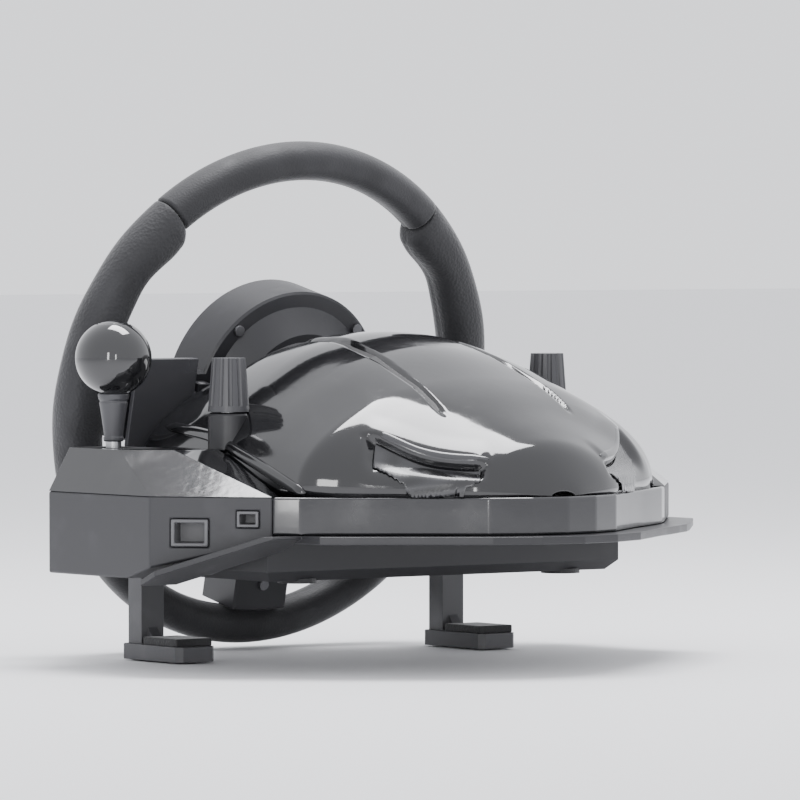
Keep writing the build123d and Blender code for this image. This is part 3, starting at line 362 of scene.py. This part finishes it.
def grip_depth(share):
    """Half depth with four finger hollows."""
    fingers = 0.0005 * np.cos((share - 0.12) * 8 * pi)
    foot, head = grip_ends(share)
    return grip_half_depth + fingers - 0.0012 * foot - 0.0012 * head


grip_rubber = rubber("grip_rubber", (0.019, 0.019, 0.021), 0.0016, 0.00022)
grip_right = rim_part("right", grip_low, grip_high, grip_width, grip_depth, 170, 64)
grip_left = rim_part("left", pi - grip_low, pi - grip_high, grip_width, grip_depth, 170, 64)
fit("rim_grip_skin", joined("rim_grip_skin", [grip_right, grip_left]), "steering_wheel",
    "grip_rubber", grip_rubber, "rim_grips")

# ---------------------------------------------------------------------------------------------
# Hub covers, cap, paddles and keys: satin black moulded plastic with rounded edges, screwed
# together through the metal frame. The carried shapes keep their outlines and get real edges.


def textured(name, shade, rough, grain=0.00045, relief=0.00005, edge=0.0):
    """Moulded plastic with a spark-eroded texture, faint flow marks and rubbed patches."""
    finish = Finish(name, Specular_IOR_Level=0.5)
    spark = finish.noise(grain, 2.0)
    flow = finish.noise(0.05, 3.0, (1.0, 2.5, 1.0))
    rubbed = finish.ramp(finish.noise(0.018, 4.0, offset=(3.0, 1.0, 7.0)), 0.52, 0.74)
    dark = tuple(0.88 * c for c in shade) + (1.0,)
    light = tuple(1.28 * c for c in shade) + (1.0,)
    finish.feed("Base Color", finish.mix(flow * 0.6 + rubbed * 0.35, dark, light))
    finish.feed("Roughness", rough + flow * 0.08 - rubbed * 0.07)
    finish.bump(spark, relief, edge)
    return finish.material


def glossy(name, shade, rough=0.09, coat=0.5):
    """Polished black plastic: slight orange peel, hairline scratches and a film of dust."""
    finish = Finish(name, Coat_Roughness=0.04, Specular_IOR_Level=0.55, Coat_Weight=coat)
    peel = finish.noise(0.0045, 1.0)
    hairs = finish.ramp(finish.noise(0.0016, 2.0, (0.05, 1.0, 1.0)), 0.63, 0.72)
    dust = finish.ramp(finish.noise(0.03, 5.0, offset=(5.0, 2.0, 1.0)), 0.50, 0.80)
    dark = tuple(shade) + (1.0,)
    light = tuple(c + 0.016 for c in shade) + (1.0,)
    finish.feed("Base Color", finish.mix(dust * 0.7, dark, light))
    finish.feed("Roughness", rough + dust * 0.10 + hairs * 0.06)
    finish.bump(peel, 0.00003)
    return finish.material


bevel_segments = 3


def rounded(name, node, body, slot, material, width, angle=28.0):
    """A carried node's shape with its triangles merged, flat parts joined and edges rounded."""
    mesh = frame["nodes"][node].data.copy()
    mesh.materials.clear()
    shape = bmesh.new()
    shape.from_mesh(mesh)
    merge_distance = 2e-6
    flat_angle = radians(1.5)
    bmesh.ops.remove_doubles(shape, verts=shape.verts, dist=merge_distance)
    bmesh.ops.dissolve_limit(shape, angle_limit=flat_angle, verts=shape.verts, edges=shape.edges)
    shape.to_mesh(mesh)
    shape.free()
    mesh.polygons.foreach_set("use_smooth", np.ones(len(mesh.polygons), dtype=bool))
    piece = fit(name, mesh, body, slot, material, node)
    edges = piece.modifiers.new("edges", "BEVEL")
    edges.width = width
    edges.segments = bevel_segments
    edges.limit_method = "ANGLE"
    edges.angle_limit = radians(angle)
    edges.harden_normals = True
    edges.use_clamp_overlap = True
    normals = piece.modifiers.new("normals", "WEIGHTED_NORMAL")
    normals.keep_sharp = True


hub_plastic = textured("hub_plastic", (0.020, 0.020, 0.023), 0.36)
cap_plastic = glossy("cap_plastic", (0.012, 0.012, 0.013))
key_plastic = textured("key_plastic", (0.075, 0.075, 0.082), 0.34, 0.0003)
paddle_plastic = textured("paddle_plastic", (0.055, 0.055, 0.060), 0.28, 0.0005, 0.00003)
rounded("hub_front_shell", "hub_front_cover", "steering_wheel", "hub_plastic", hub_plastic, 0.0007)
rounded("hub_rear_shell", "hub_rear_cover", "steering_wheel", "hub_plastic", hub_plastic, 0.0010)
rounded("hub_cap", "centre_cap", "steering_wheel", "cap_gloss", cap_plastic, 0.0006)
for side in ("left", "right"):
    rounded(f"paddle_blade_{side}", f"paddle_{side}", f"paddle_{side}", "paddle_metal",
            paddle_plastic, 0.0009)
    rounded(f"option_key_top_{side}", f"option_key_{side}", f"option_key_{side}", "key_plastic",
            key_plastic, 0.0004)
for place in ("top", "bottom", "left", "right"):
    rounded(f"action_key_cap_{place}", f"action_key_{place}", f"action_key_{place}", "key_plastic",
            key_plastic, 0.0004)
rounded("direction_pad", "dpad", "dpad", "key_plastic", key_plastic, 0.0005)

# ---------------------------------------------------------------------------------------------
# Hood: one large bonnet-shaped moulding in high-gloss black plastic, clipped to the belt. Two long
# vent grooves run down it, and a scoop is drawn in at each front corner under the headlight's lid.

hood_low, hood_high = np.array(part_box("hood")[0]), np.array(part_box("hood")[1])
hood_half = (hood_high[0] - hood_low[0]) / 2
hood_rise = hood_high[2] - hood_low[2]
hood_rear, hood_nose = hood_low[1], hood_high[1]
hood_share = np.array([0.0, 0.19, 0.308, 0.474, 0.6635, 0.735, 0.829, 0.90, 0.962, 1.0])
hood_widths = np.array([1.0, 1.0, 1.0, 1.0, 1.0, 0.90, 0.665, 0.495, 0.335, 0.20])
nose_start, nose_share = 0.93, 0.07
nose_half_left, nose_rise_left = 0.30, 0.12
arch_part, bulge_part = 0.62, 0.38
hood_heights = np.array([0.825, 0.9875, 1.0, 0.9125, 0.725, 0.64, 0.505, 0.40, 0.30, 0.215])


def smooth_between(x, knots, values):
    """Cubic through the knots whose slopes never overshoot: harmonic mean of the two rises."""
    step = np.diff(knots)
    rise = np.diff(values) / step
    slope = np.zeros_like(values)
    same_way = rise[:-1] * rise[1:] > 0
    slope[1:-1] = np.where(same_way, 2 * rise[:-1] * rise[1:] / np.where(
        same_way, rise[:-1] + rise[1:], 1.0), 0.0)
    slope[-1] = rise[-1]
    cell = np.clip(np.searchsorted(knots, x, side="right") - 1, 0, len(step) - 1)
    t = (x - knots[cell]) / step[cell]
    h = step[cell]
    return ((2 * t ** 3 - 3 * t ** 2 + 1) * values[cell] + (t ** 3 - 2 * t ** 2 + t) * h * slope[cell]
            + (3 * t ** 2 - 2 * t ** 3) * values[cell + 1] + (t ** 3 - t ** 2) * h * slope[cell + 1])


def soft_step(value, low, high):
    """0 below low, 1 above high, smooth between."""
    share = np.clip((value - low) / (high - low), 0, 1)
    return share * share * (3 - 2 * share)


def hood_size(y):
    """Half width and rise of the hood at a distance along Y; its nose is rounded off."""
    along = np.clip((y - hood_rear) / (hood_nose - hood_rear), 0, 1)
    nose = np.clip((along - nose_start) / nose_share, 0, 1)
    rounding = (1 - nose ** 2.4) ** 0.5
    half = hood_half * smooth_between(along, hood_share, hood_widths)
    rise = hood_rise * smooth_between(along, hood_share, hood_heights)
    return (half * (nose_half_left + (1 - nose_half_left) * rounding),
            rise * (nose_rise_left + (1 - nose_rise_left) * rounding))


def hood_arch(share):
    """Height of the section at a share of its half width: a flat-topped arch and a centre bulge."""
    share = np.minimum(np.abs(share), 1.0)
    return arch_part * (1 - share ** 4) ** 0.4 + bulge_part * (1 - share ** 2) ** 1.5


def hood_height(x, y):
    """Height of the plain hood over a place in plan."""
    half, rise = hood_size(y)
    return hood_low[2] + hood_arch(x / half) * rise


def grid_normals(points):
    """Unit normals of a grid, turned so that they point up."""
    normals = np.cross(np.gradient(points, axis=1), np.gradient(points, axis=0))
    normals /= np.maximum(np.linalg.norm(normals, axis=-1, keepdims=True), 1e-12)
    return normals * np.where(normals[..., 2:] < 0, -1.0, 1.0)


lid_inner = np.array([0.036, 0.137])
lid_outer = np.array([0.078, 0.096])
lid_length = np.linalg.norm(lid_outer - lid_inner)
lid_along = (lid_outer - lid_inner) / lid_length
lid_out = np.array([-lid_along[1], lid_along[0]])
lid_bow = 0.0035
scoop_depth = 0.0046
lid_line_low, lid_line_climb = 0.061, 0.014
scoop_reach, scoop_reach_gain = 0.008, 0.013
shoulder_height = 0.0013
groove_depth = 0.0036
groove_half_wide = 0.0048
groove_taper = 0.0032
groove_start, groove_length = -0.027, 0.130
groove_side, groove_drift = 0.032, 0.008
crest_height, crest_side, crest_spread = 0.0011, 0.052, 0.020


def hood_relief(points):
    """How far each point of the hood moves along its normal: grooves, shoulders and scoops."""
    x, y, z = points[..., 0], points[..., 1], points[..., 2]
    side = np.abs(x)
    run = np.clip((y - groove_start) / groove_length, 0, 1)
    groove_half = groove_half_wide - groove_taper * run ** 0.8
    inside = soft_step(y, -0.031, -0.026) * (1 - soft_step(y, 0.094, 0.108))
    off = np.abs(side - groove_side - groove_drift * run) / groove_half
    relief = -groove_depth * inside * (1 - soft_step(off, 0.55, 1.25))
    crest = np.exp(-((side - crest_side) / crest_spread) ** 2)
    relief += crest_height * crest * soft_step(y, -0.06, 0.0) * (1 - soft_step(y, 0.07, 0.12))
    along = ((side - lid_inner[0]) * lid_along[0] + (y - lid_inner[1]) * lid_along[1]) / lid_length
    out = (side - lid_inner[0]) * lid_out[0] + (y - lid_inner[1]) * lid_out[1]
    out = out - lid_bow * np.sin(pi * np.clip(along, 0, 1))
    line_z = lid_line_low + lid_line_climb * np.clip(along, 0, 1)
    fall = (line_z - z) / (scoop_reach + scoop_reach_gain * np.clip(along, 0, 1))
    ends = soft_step(along, -0.03, 0.10) * (1 - soft_step(along, 0.94, 1.10))
    relief -= scoop_depth * soft_step(out, 0.0, 0.0016) * (1 - soft_step(fall, 0.45, 1.15)) * ends
    shoulder = soft_step(out, -0.012, -0.001) * (1 - soft_step(out, -0.0006, 0.0004))
    relief += shoulder_height * shoulder * ends
    return relief


hood_rows = 180
nose_rows = 25
hood_columns = 241
rows_y = hood_rear + (hood_nose - hood_rear) * np.concatenate(
    [np.linspace(0, nose_start, hood_rows - nose_rows),
     nose_start + nose_share * np.sin(np.linspace(0, pi / 2, nose_rows + 1)[1:])])
across = (0.5 * np.sin(np.linspace(-pi / 2, pi / 2, hood_columns))
          + 0.5 * np.linspace(-1, 1, hood_columns))
row_half, row_rise = hood_size(rows_y)
hood_points = np.stack([across[None, :] * row_half[:, None],
                        np.broadcast_to(rows_y[:, None], (len(rows_y), len(across))),
                        hood_low[2] + hood_arch(across)[None, :] * row_rise[:, None]], axis=-1)
hood_points = hood_points + hood_relief(hood_points)[..., None] * grid_normals(hood_points)
hood_points[..., 2] = np.maximum(hood_points[..., 2], hood_low[2])
hood_gloss = glossy("hood_gloss", (0.0075, 0.0075, 0.0085), 0.085)
hood_wall = 0.0022


def walled(piece, thickness):
    """Give an open sheet a wall that grows inwards."""
    wall = piece.modifiers.new("wall", "SOLIDIFY")
    wall.thickness = thickness
    wall.offset = -1.0


walled(fit("hood_moulding", sheet_mesh("hood_moulding", hood_points, wrap=False), "base",
           "hood_gloss", hood_gloss, "hood"), hood_wall)

# ---------------------------------------------------------------------------------------------
# Beads of the hood: a rounded rib that sweeps down each flank to the belt, and the raised lid over
# each headlight. They are moulded separately in gloss plastic and glued on.


def hood_normal(x, y):
    """Unit normal of the plain hood, from the slopes of its height."""
    step = 0.0004
    slope_x = (hood_height(x + step, y) - hood_height(x - step, y)) / (2 * step)
    slope_y = (hood_height(x, y + step) - hood_height(x, y - step)) / (2 * step)
    normal = np.stack([-slope_x, -slope_y, np.ones_like(slope_x)], axis=-1)
    return normal / np.linalg.norm(normal, axis=-1, keepdims=True)


def bead(name, path, normals, half_width, height, columns=18):
    """Flattened oval carried along a path on a surface. Its size swells from nothing at both
    ends; half_width and height are given at each point."""
    tangent = np.gradient(path, axis=0)
    tangent /= np.linalg.norm(tangent, axis=-1, keepdims=True)
    sideways = np.cross(tangent, normals)
    around = np.linspace(0, 2 * pi, columns, endpoint=False)
    lift = np.where(np.sin(around) > 0, np.sin(around), 0.5 * np.sin(around))
    points = (path[:, None, :]
              + (half_width[:, None] * np.cos(around))[..., None] * sideways[:, None, :]
              + (height[:, None] * lift)[..., None] * normals[:, None, :])
    return sheet_mesh(name, points, close_start=True, close_end=True)


def mirrored(mesh):
    """Copy of a mesh on the other side of the middle plane, with its faces turned right."""
    other = mesh.copy()
    shape = bmesh.new()
    shape.from_mesh(other)
    bmesh.ops.scale(shape, vec=(-1.0, 1.0, 1.0), verts=shape.verts)
    bmesh.ops.reverse_faces(shape, faces=shape.faces)
    shape.to_mesh(other)
    shape.free()
    return other


def on_both_sides(name, mesh):
    """A mesh and its mirrored copy as one."""
    return joined(name, [mesh, mirrored(mesh)])


def outward(mesh):
    """Same closed mesh with its normals recalculated to point out."""
    shape = bmesh.new()
    shape.from_mesh(mesh)
    bmesh.ops.recalc_face_normals(shape, faces=shape.faces)
    shape.to_mesh(mesh)
    shape.free()
    return mesh


rib_share = np.linspace(0, 1, 90)
rib_start, rib_length = -0.052, 0.137
rib_y = rib_start + rib_length * rib_share
rib_z = smooth_between(rib_y, np.array([-0.053, -0.009, 0.035, 0.086]),
                       np.array([0.0768, 0.0738, 0.0628, 0.0465]))
rib_half, rib_rise = hood_size(rib_y)
share_table = np.linspace(1.0, 0.0, 4000)
rib_x = rib_half * np.interp((rib_z - hood_low[2]) / rib_rise, hood_arch(share_table), share_table)
rib_path = np.stack([rib_x, rib_y, hood_height(rib_x, rib_y)], axis=-1)
rib_swell = np.clip(np.minimum(rib_share / 0.08, (1 - rib_share) / 0.03), 0.02, 1) ** 0.5
rib_half_width, rib_height = 0.0030, 0.0016
rib_mesh = outward(bead("rib", rib_path, hood_normal(rib_x, rib_y), rib_half_width * rib_swell,
                        rib_height * rib_swell))
fit("flank_ribs", on_both_sides("flank_ribs", rib_mesh), "base", "hood_gloss", hood_gloss, "rib_trims")

lid_share = np.linspace(0.0, 1.0, 60)
lid_set_back, lid_lift = 0.0012, 0.0006
lid_plan = (lid_inner + lid_share[:, None] * (lid_outer - lid_inner)
            + (lid_bow * np.sin(pi * lid_share) - lid_set_back)[:, None] * lid_out)
lid_path = np.column_stack([lid_plan, hood_height(lid_plan[:, 0], lid_plan[:, 1]) + lid_lift])
lid_half_width, lid_height = 0.0024, 0.0012
lid_swell = np.clip(np.minimum(lid_share / 0.12, (1 - lid_share) / 0.12), 0.03, 1) ** 0.6
lid_mesh = outward(bead("lid", lid_path, hood_normal(lid_plan[:, 0], lid_plan[:, 1]),
                        lid_half_width * lid_swell, lid_height * lid_swell))
lid_gloss = glossy("lid_gloss", (0.030, 0.030, 0.033), 0.12)
fit("headlight_lid_beads", on_both_sides("headlight_lid_beads", lid_mesh), "base", "hood_gloss",
    lid_gloss, "headlight_lids")

# ---------------------------------------------------------------------------------------------
# Headlight lenses: thin smoked plastic, finely fluted, that lines each scoop under its lid and is
# glued to the hood along its edges.

lens_rows, lens_columns = 60, 26
lens_t = np.linspace(0.06, 0.96, lens_rows)[:, None]
lens_s = np.linspace(0, 1, lens_columns)[None, :]
probe = np.linspace(0, 0.02, 60)
edge_x = lid_inner[0] + lens_t * lid_length * lid_along[0] + probe * lid_out[0]
edge_y = lid_inner[1] + lens_t * lid_length * lid_along[1] + probe * lid_out[1]
lens_edge_share = 0.93
lens_reach, lens_reach_gain = 0.005, 0.010
lens_margin, lens_least = 0.0018, 0.001
room = (edge_x / hood_size(edge_y)[0] < lens_edge_share).sum(axis=1) * (probe[1] - probe[0])
reach = np.minimum(room[:, None], lens_reach + lens_reach_gain * lens_t)
plan_out = (lid_bow * np.sin(pi * lens_t) + lens_margin
            + np.maximum(reach - lens_margin, lens_least) * lens_s)
lens_x = lid_inner[0] + lens_t * lid_length * lid_along[0] + plan_out * lid_out[0]
lens_y = lid_inner[1] + lens_t * lid_length * lid_along[1] + plan_out * lid_out[1]
lens_points = np.stack([lens_x, lens_y, hood_height(lens_x, lens_y)], axis=-1)
lens_lift = 0.0005
lens_shift = hood_relief(lens_points) + lens_lift
lens_points = lens_points + lens_shift[..., None] * hood_normal(lens_x, lens_y)
lens_mesh = sheet_mesh("lens", lens_points, wrap=False)
lens_finish = Finish("smoked_lens", Coat_Roughness=0.05, Coat_Weight=0.8)
flutes = lens_finish.node("ShaderNodeTexWave", {"wave_type": "BANDS", "bands_direction": "DIAGONAL"},
                          {"Vector": lens_finish.place, "Scale": 130.0, "Distortion": 0.0}, 1)
lens_finish.feed("Base Color", lens_finish.mix(flutes, (0.004, 0.004, 0.005, 1.0),
                                               (0.02, 0.02, 0.023, 1.0)))
lens_finish.feed("Roughness", 0.22 + flutes * 0.10)
lens_finish.bump(flutes, 0.00025)
lens_wall = 0.0006
walled(fit("headlight_lenses", on_both_sides("headlight_lenses", lens_mesh), "base", "vent_plastic",
           lens_finish.material, "headlight_recesses"), lens_wall)

# ---------------------------------------------------------------------------------------------
# Side pods, belt and splitter: the pods are textured black boxes with glossy tops, the belt is a
# facetted gloss band from pod to pod, and the splitter is a thin lip screwed under it.

pod_plastic = textured("pod_plastic", (0.026, 0.026, 0.029), 0.42)
belt_gloss = glossy("belt_gloss", (0.014, 0.014, 0.016), 0.13)
lip_plastic = textured("lip_plastic", (0.015, 0.015, 0.017), 0.30)
for side in ("left", "right"):
    rounded(f"{side}_pod_body", f"{side}_pod_shell", "base", "pod_plastic", pod_plastic, 0.0024)
    rounded(f"{side}_pod_top", f"{side}_pod_cover", "base", "hood_gloss", hood_gloss, 0.0040)
rounded("belt", "belt_frame", "base", "belt_gloss", belt_gloss, 0.0014, 6.0)
rounded("lip", "splitter_lip", "base", "lip_plastic", lip_plastic, 0.0011, 6.0)

# ---------------------------------------------------------------------------------------------
# Shift lever: a turned neck of satin plastic under a polished ball. The ball has a flat round cap
# set into its top, and the neck has a lip under the ball and a ring at its foot.


def turned(name, profile, centre, sides=72):
    """Rows of radius and height turned about an upright axis through a centre."""
    angle = np.linspace(0, 2 * pi, sides, endpoint=False)
    points = np.stack([profile[:, :1] * np.cos(angle), profile[:, :1] * np.sin(angle),
                       np.broadcast_to(profile[:, 1:], (len(profile), sides))], axis=-1) + centre
    return outward(sheet_mesh(name, points, close_start=True, close_end=True))


ball_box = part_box("lever_ball")
ball_centre = (np.array(ball_box[0]) + np.array(ball_box[1])) / 2
ball_radius = (ball_box[1][0] - ball_box[0][0]) / 2
sweep = np.linspace(radians(-76), radians(90), 110)
ball_r = ball_radius * np.cos(sweep)
ball_z = ball_radius * np.sin(sweep)
cap_edge = 0.0085
cap_groove_half = 0.00035
cap_groove_depth, cap_flat_depth = 0.0005, 0.0003
cap_groove = np.exp(-((ball_r - cap_edge) / cap_groove_half) ** 2) * (sweep > 0)
cap_flat = soft_step(cap_edge - ball_r, 0.0, 0.001) * (sweep > 0)
ball_z = ball_z - cap_groove_depth * cap_groove - cap_flat_depth * cap_flat
ball_gloss = glossy("ball_gloss", (0.009, 0.009, 0.010), 0.06, 0.8)
pole_radius = 0.0001
ball_profile = np.column_stack([np.maximum(ball_r, pole_radius), ball_z])
fit("ball_knob", turned("ball_knob", ball_profile, ball_centre, 120), "shift_lever", "ball_gloss",
    ball_gloss, "lever_ball")

neck_low, neck_high = np.array(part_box("lever_neck")[0]), np.array(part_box("lever_neck")[1])
neck_height = neck_high[2] - neck_low[2]
neck_top = (neck_high[0] - neck_low[0]) / 2
neck_foot = 0.57 * neck_top
neck_lip_share, neck_ring_share = 0.84, 0.09
neck_lip_depth, neck_ring_height = 0.0006, 0.0004
neck_share = np.linspace(0, 1, 60)
neck_r = neck_foot + (neck_top - neck_foot) * neck_share ** 1.25
neck_lip = np.exp(-((neck_share - neck_lip_share) / 0.02) ** 2)
neck_r = neck_r - neck_lip_depth * neck_lip + neck_ring_height * (neck_share < neck_ring_share)
neck_r = neck_r * np.clip(0.9 + 0.1 * np.minimum(neck_share, 1 - neck_share) / 0.02, 0.9, 1.0)
neck_centre = np.array([ball_centre[0], ball_centre[1], neck_low[2]])
neck_plastic = textured("neck_plastic", (0.055, 0.055, 0.060), 0.30, 0.0003, 0.00002)
neck_profile = np.column_stack([neck_r, neck_share * neck_height])
fit("lever_neck_sleeve", turned("lever_neck_sleeve", neck_profile, neck_centre), "shift_lever",
    "neck_plastic", neck_plastic, "lever_neck")
gate_plastic = textured("gate_plastic", (0.020, 0.020, 0.022), 0.48)
rounded("gate_plate", "lever_gate", "base", "vent_plastic", gate_plastic, 0.0005)

# ---------------------------------------------------------------------------------------------
# Table clamps: fluted knobs over flared collars, and grey glass-filled legs whose jaws, faced with
# rubber, close on the table from below.

knob_plastic = textured("knob_plastic", (0.048, 0.048, 0.052), 0.30, 0.0003, 0.00003)
collar_plastic = textured("collar_plastic", (0.015, 0.015, 0.017), 0.35)
arm_plastic = textured("arm_plastic", (0.052, 0.052, 0.056), 0.40, 0.0006, 0.00008)
foot_rubber = rubber("foot_rubber", (0.012, 0.012, 0.013), 0.0014, 0.00015)
for side in ("left", "right"):
    rounded(f"clamp_grip_{side}", f"clamp_knob_{side}", f"clamp_knob_{side}", "knob_plastic",
            knob_plastic, 0.0005)
    rounded(f"clamp_leg_{side}", f"clamp_arm_{side}", f"clamp_arm_{side}", "arm_plastic",
            arm_plastic, 0.0012)
    rounded(f"jaw_rubber_{side}", f"jaw_pad_{side}", f"clamp_arm_{side}", "foot_rubber",
            foot_rubber, 0.0006)
rounded("flared_collars", "knob_collars", "base", "vent_plastic", collar_plastic, 0.0007)

# ---------------------------------------------------------------------------------------------
# Underside and back: a moulded tub with rubber feet, the panel behind the wheel and the sockets
# for the pedals and the gear shifter in the pod's front face.

inner_plastic = textured("inner_plastic", (0.015, 0.015, 0.017), 0.46)
panel_plastic = textured("panel_plastic", (0.015, 0.015, 0.017), 0.44)
# socket_plastic is painted a lighter grey than the pods around it: a painted highlight standing in for the
# light caught by the sockets' glossy rims.
socket_plastic = textured("socket_plastic", (0.11, 0.11, 0.115), 0.32, 0.0003)
rounded("pan", "bottom_pan", "base", "inner_plastic", inner_plastic, 0.0012)
rounded("feet", "rubber_feet", "base", "foot_rubber", foot_rubber, 0.0006)
rounded("back_panel", "rear_panel", "base", "inner_plastic", panel_plastic, 0.0008)
rounded("pedal_port", "pedal_socket", "base", "socket_plastic", socket_plastic, 0.0008)
rounded("shifter_port", "shifter_socket", "base", "socket_plastic", socket_plastic, 0.0006)

# ---------------------------------------------------------------------------------------------
# Inner parts, as they are carried: the column and its gears, motor, bearings, boards and screws,
# seen through the slots and in the gap behind the wheel.


def metal(name, colour, rough, stretch, edge=0.0003):
    """Machined or cast metal: fine lines along the tool's path and cloudy oxide."""
    finish = Finish(name, Metallic=1.0)
    lines = finish.noise(0.0009, 3.0, stretch)
    cloud = finish.noise(0.012, 3.0, offset=(2.0, 5.0, 3.0))
    dark = tuple(0.72 * c for c in colour) + (1.0,)
    finish.feed("Base Color", finish.mix(lines * 0.4 + cloud * 0.5, dark, tuple(colour) + (1.0,)))
    finish.feed("Roughness", rough + lines * 0.12 + cloud * 0.08)
    finish.bump(lines, 0.00002, edge)
    return finish.material


def circuit(name):
    """Green solder mask with copper tracks under it and pale pads."""
    finish = Finish(name)
    tracks = finish.ramp(finish.noise(0.004, 0.0, (0.12, 1.0, 1.0)), 0.47, 0.50)
    pads = finish.node("ShaderNodeTexVoronoi", {}, {"Vector": finish.place, "Scale": 260.0})
    spots = 1.0 - finish.ramp(pads, 0.16, 0.2)
    mask = finish.mix(tracks, (0.006, 0.060, 0.024, 1.0), (0.014, 0.120, 0.048, 1.0))
    finish.feed("Base Color", finish.mix(spots * 0.8, mask, (0.62, 0.60, 0.54, 1.0)))
    finish.feed("Roughness", 0.34 + tracks * 0.06)
    finish.bump(tracks + spots, 0.00004, 0.0002)
    return finish.material


cast_aluminium = metal("cast_aluminium", (0.36, 0.36, 0.37), 0.42, (1.0, 1.0, 1.0))
black_zinc = metal("black_zinc", (0.22, 0.22, 0.23), 0.36, (1.0, 1.0, 0.1))
ground_steel = metal("ground_steel", (0.56, 0.56, 0.57), 0.24, (1.0, 1.0, 0.08))
turned_brass = metal("turned_brass", (0.76, 0.57, 0.26), 0.26, (1.0, 0.1, 1.0))
motor_can = metal("motor_can", (0.52, 0.52, 0.51), 0.30, (0.1, 1.0, 1.0))
board_mask = circuit("circuit_board")
gear_nylon = textured("gear_nylon", (0.62, 0.60, 0.53), 0.42, 0.0006, 0.00003, 0.0003)
sensor_case = textured("sensor_case", (0.024, 0.024, 0.025), 0.48, edge=0.0003)
vent_insert = textured("vent_insert", (0.007, 0.007, 0.008), 0.50, edge=0.0002)
column_plastic = textured("column_plastic", (0.035, 0.035, 0.038), 0.50, edge=0.0005)
carried = {
    "wheel_frame": cast_aluminium,
    "wheel_board": board_mask,
    "main_board": board_mask,
    "hub_screws": black_zinc,
    "column_screws": black_zinc,
    "steering_gear": gear_nylon,
    "sensor_pinion": gear_nylon,
    "motor_pinion": turned_brass,
    "motor": motor_can,
    "position_sensor": sensor_case,
    "hood_vents": vent_insert,
    "column_block": column_plastic,
}
for name, piece in frame["nodes"].items():
    if not piece.hide_render:
        piece.data.materials.clear()
        piece.data.materials.append(carried.get(name, ground_steel))
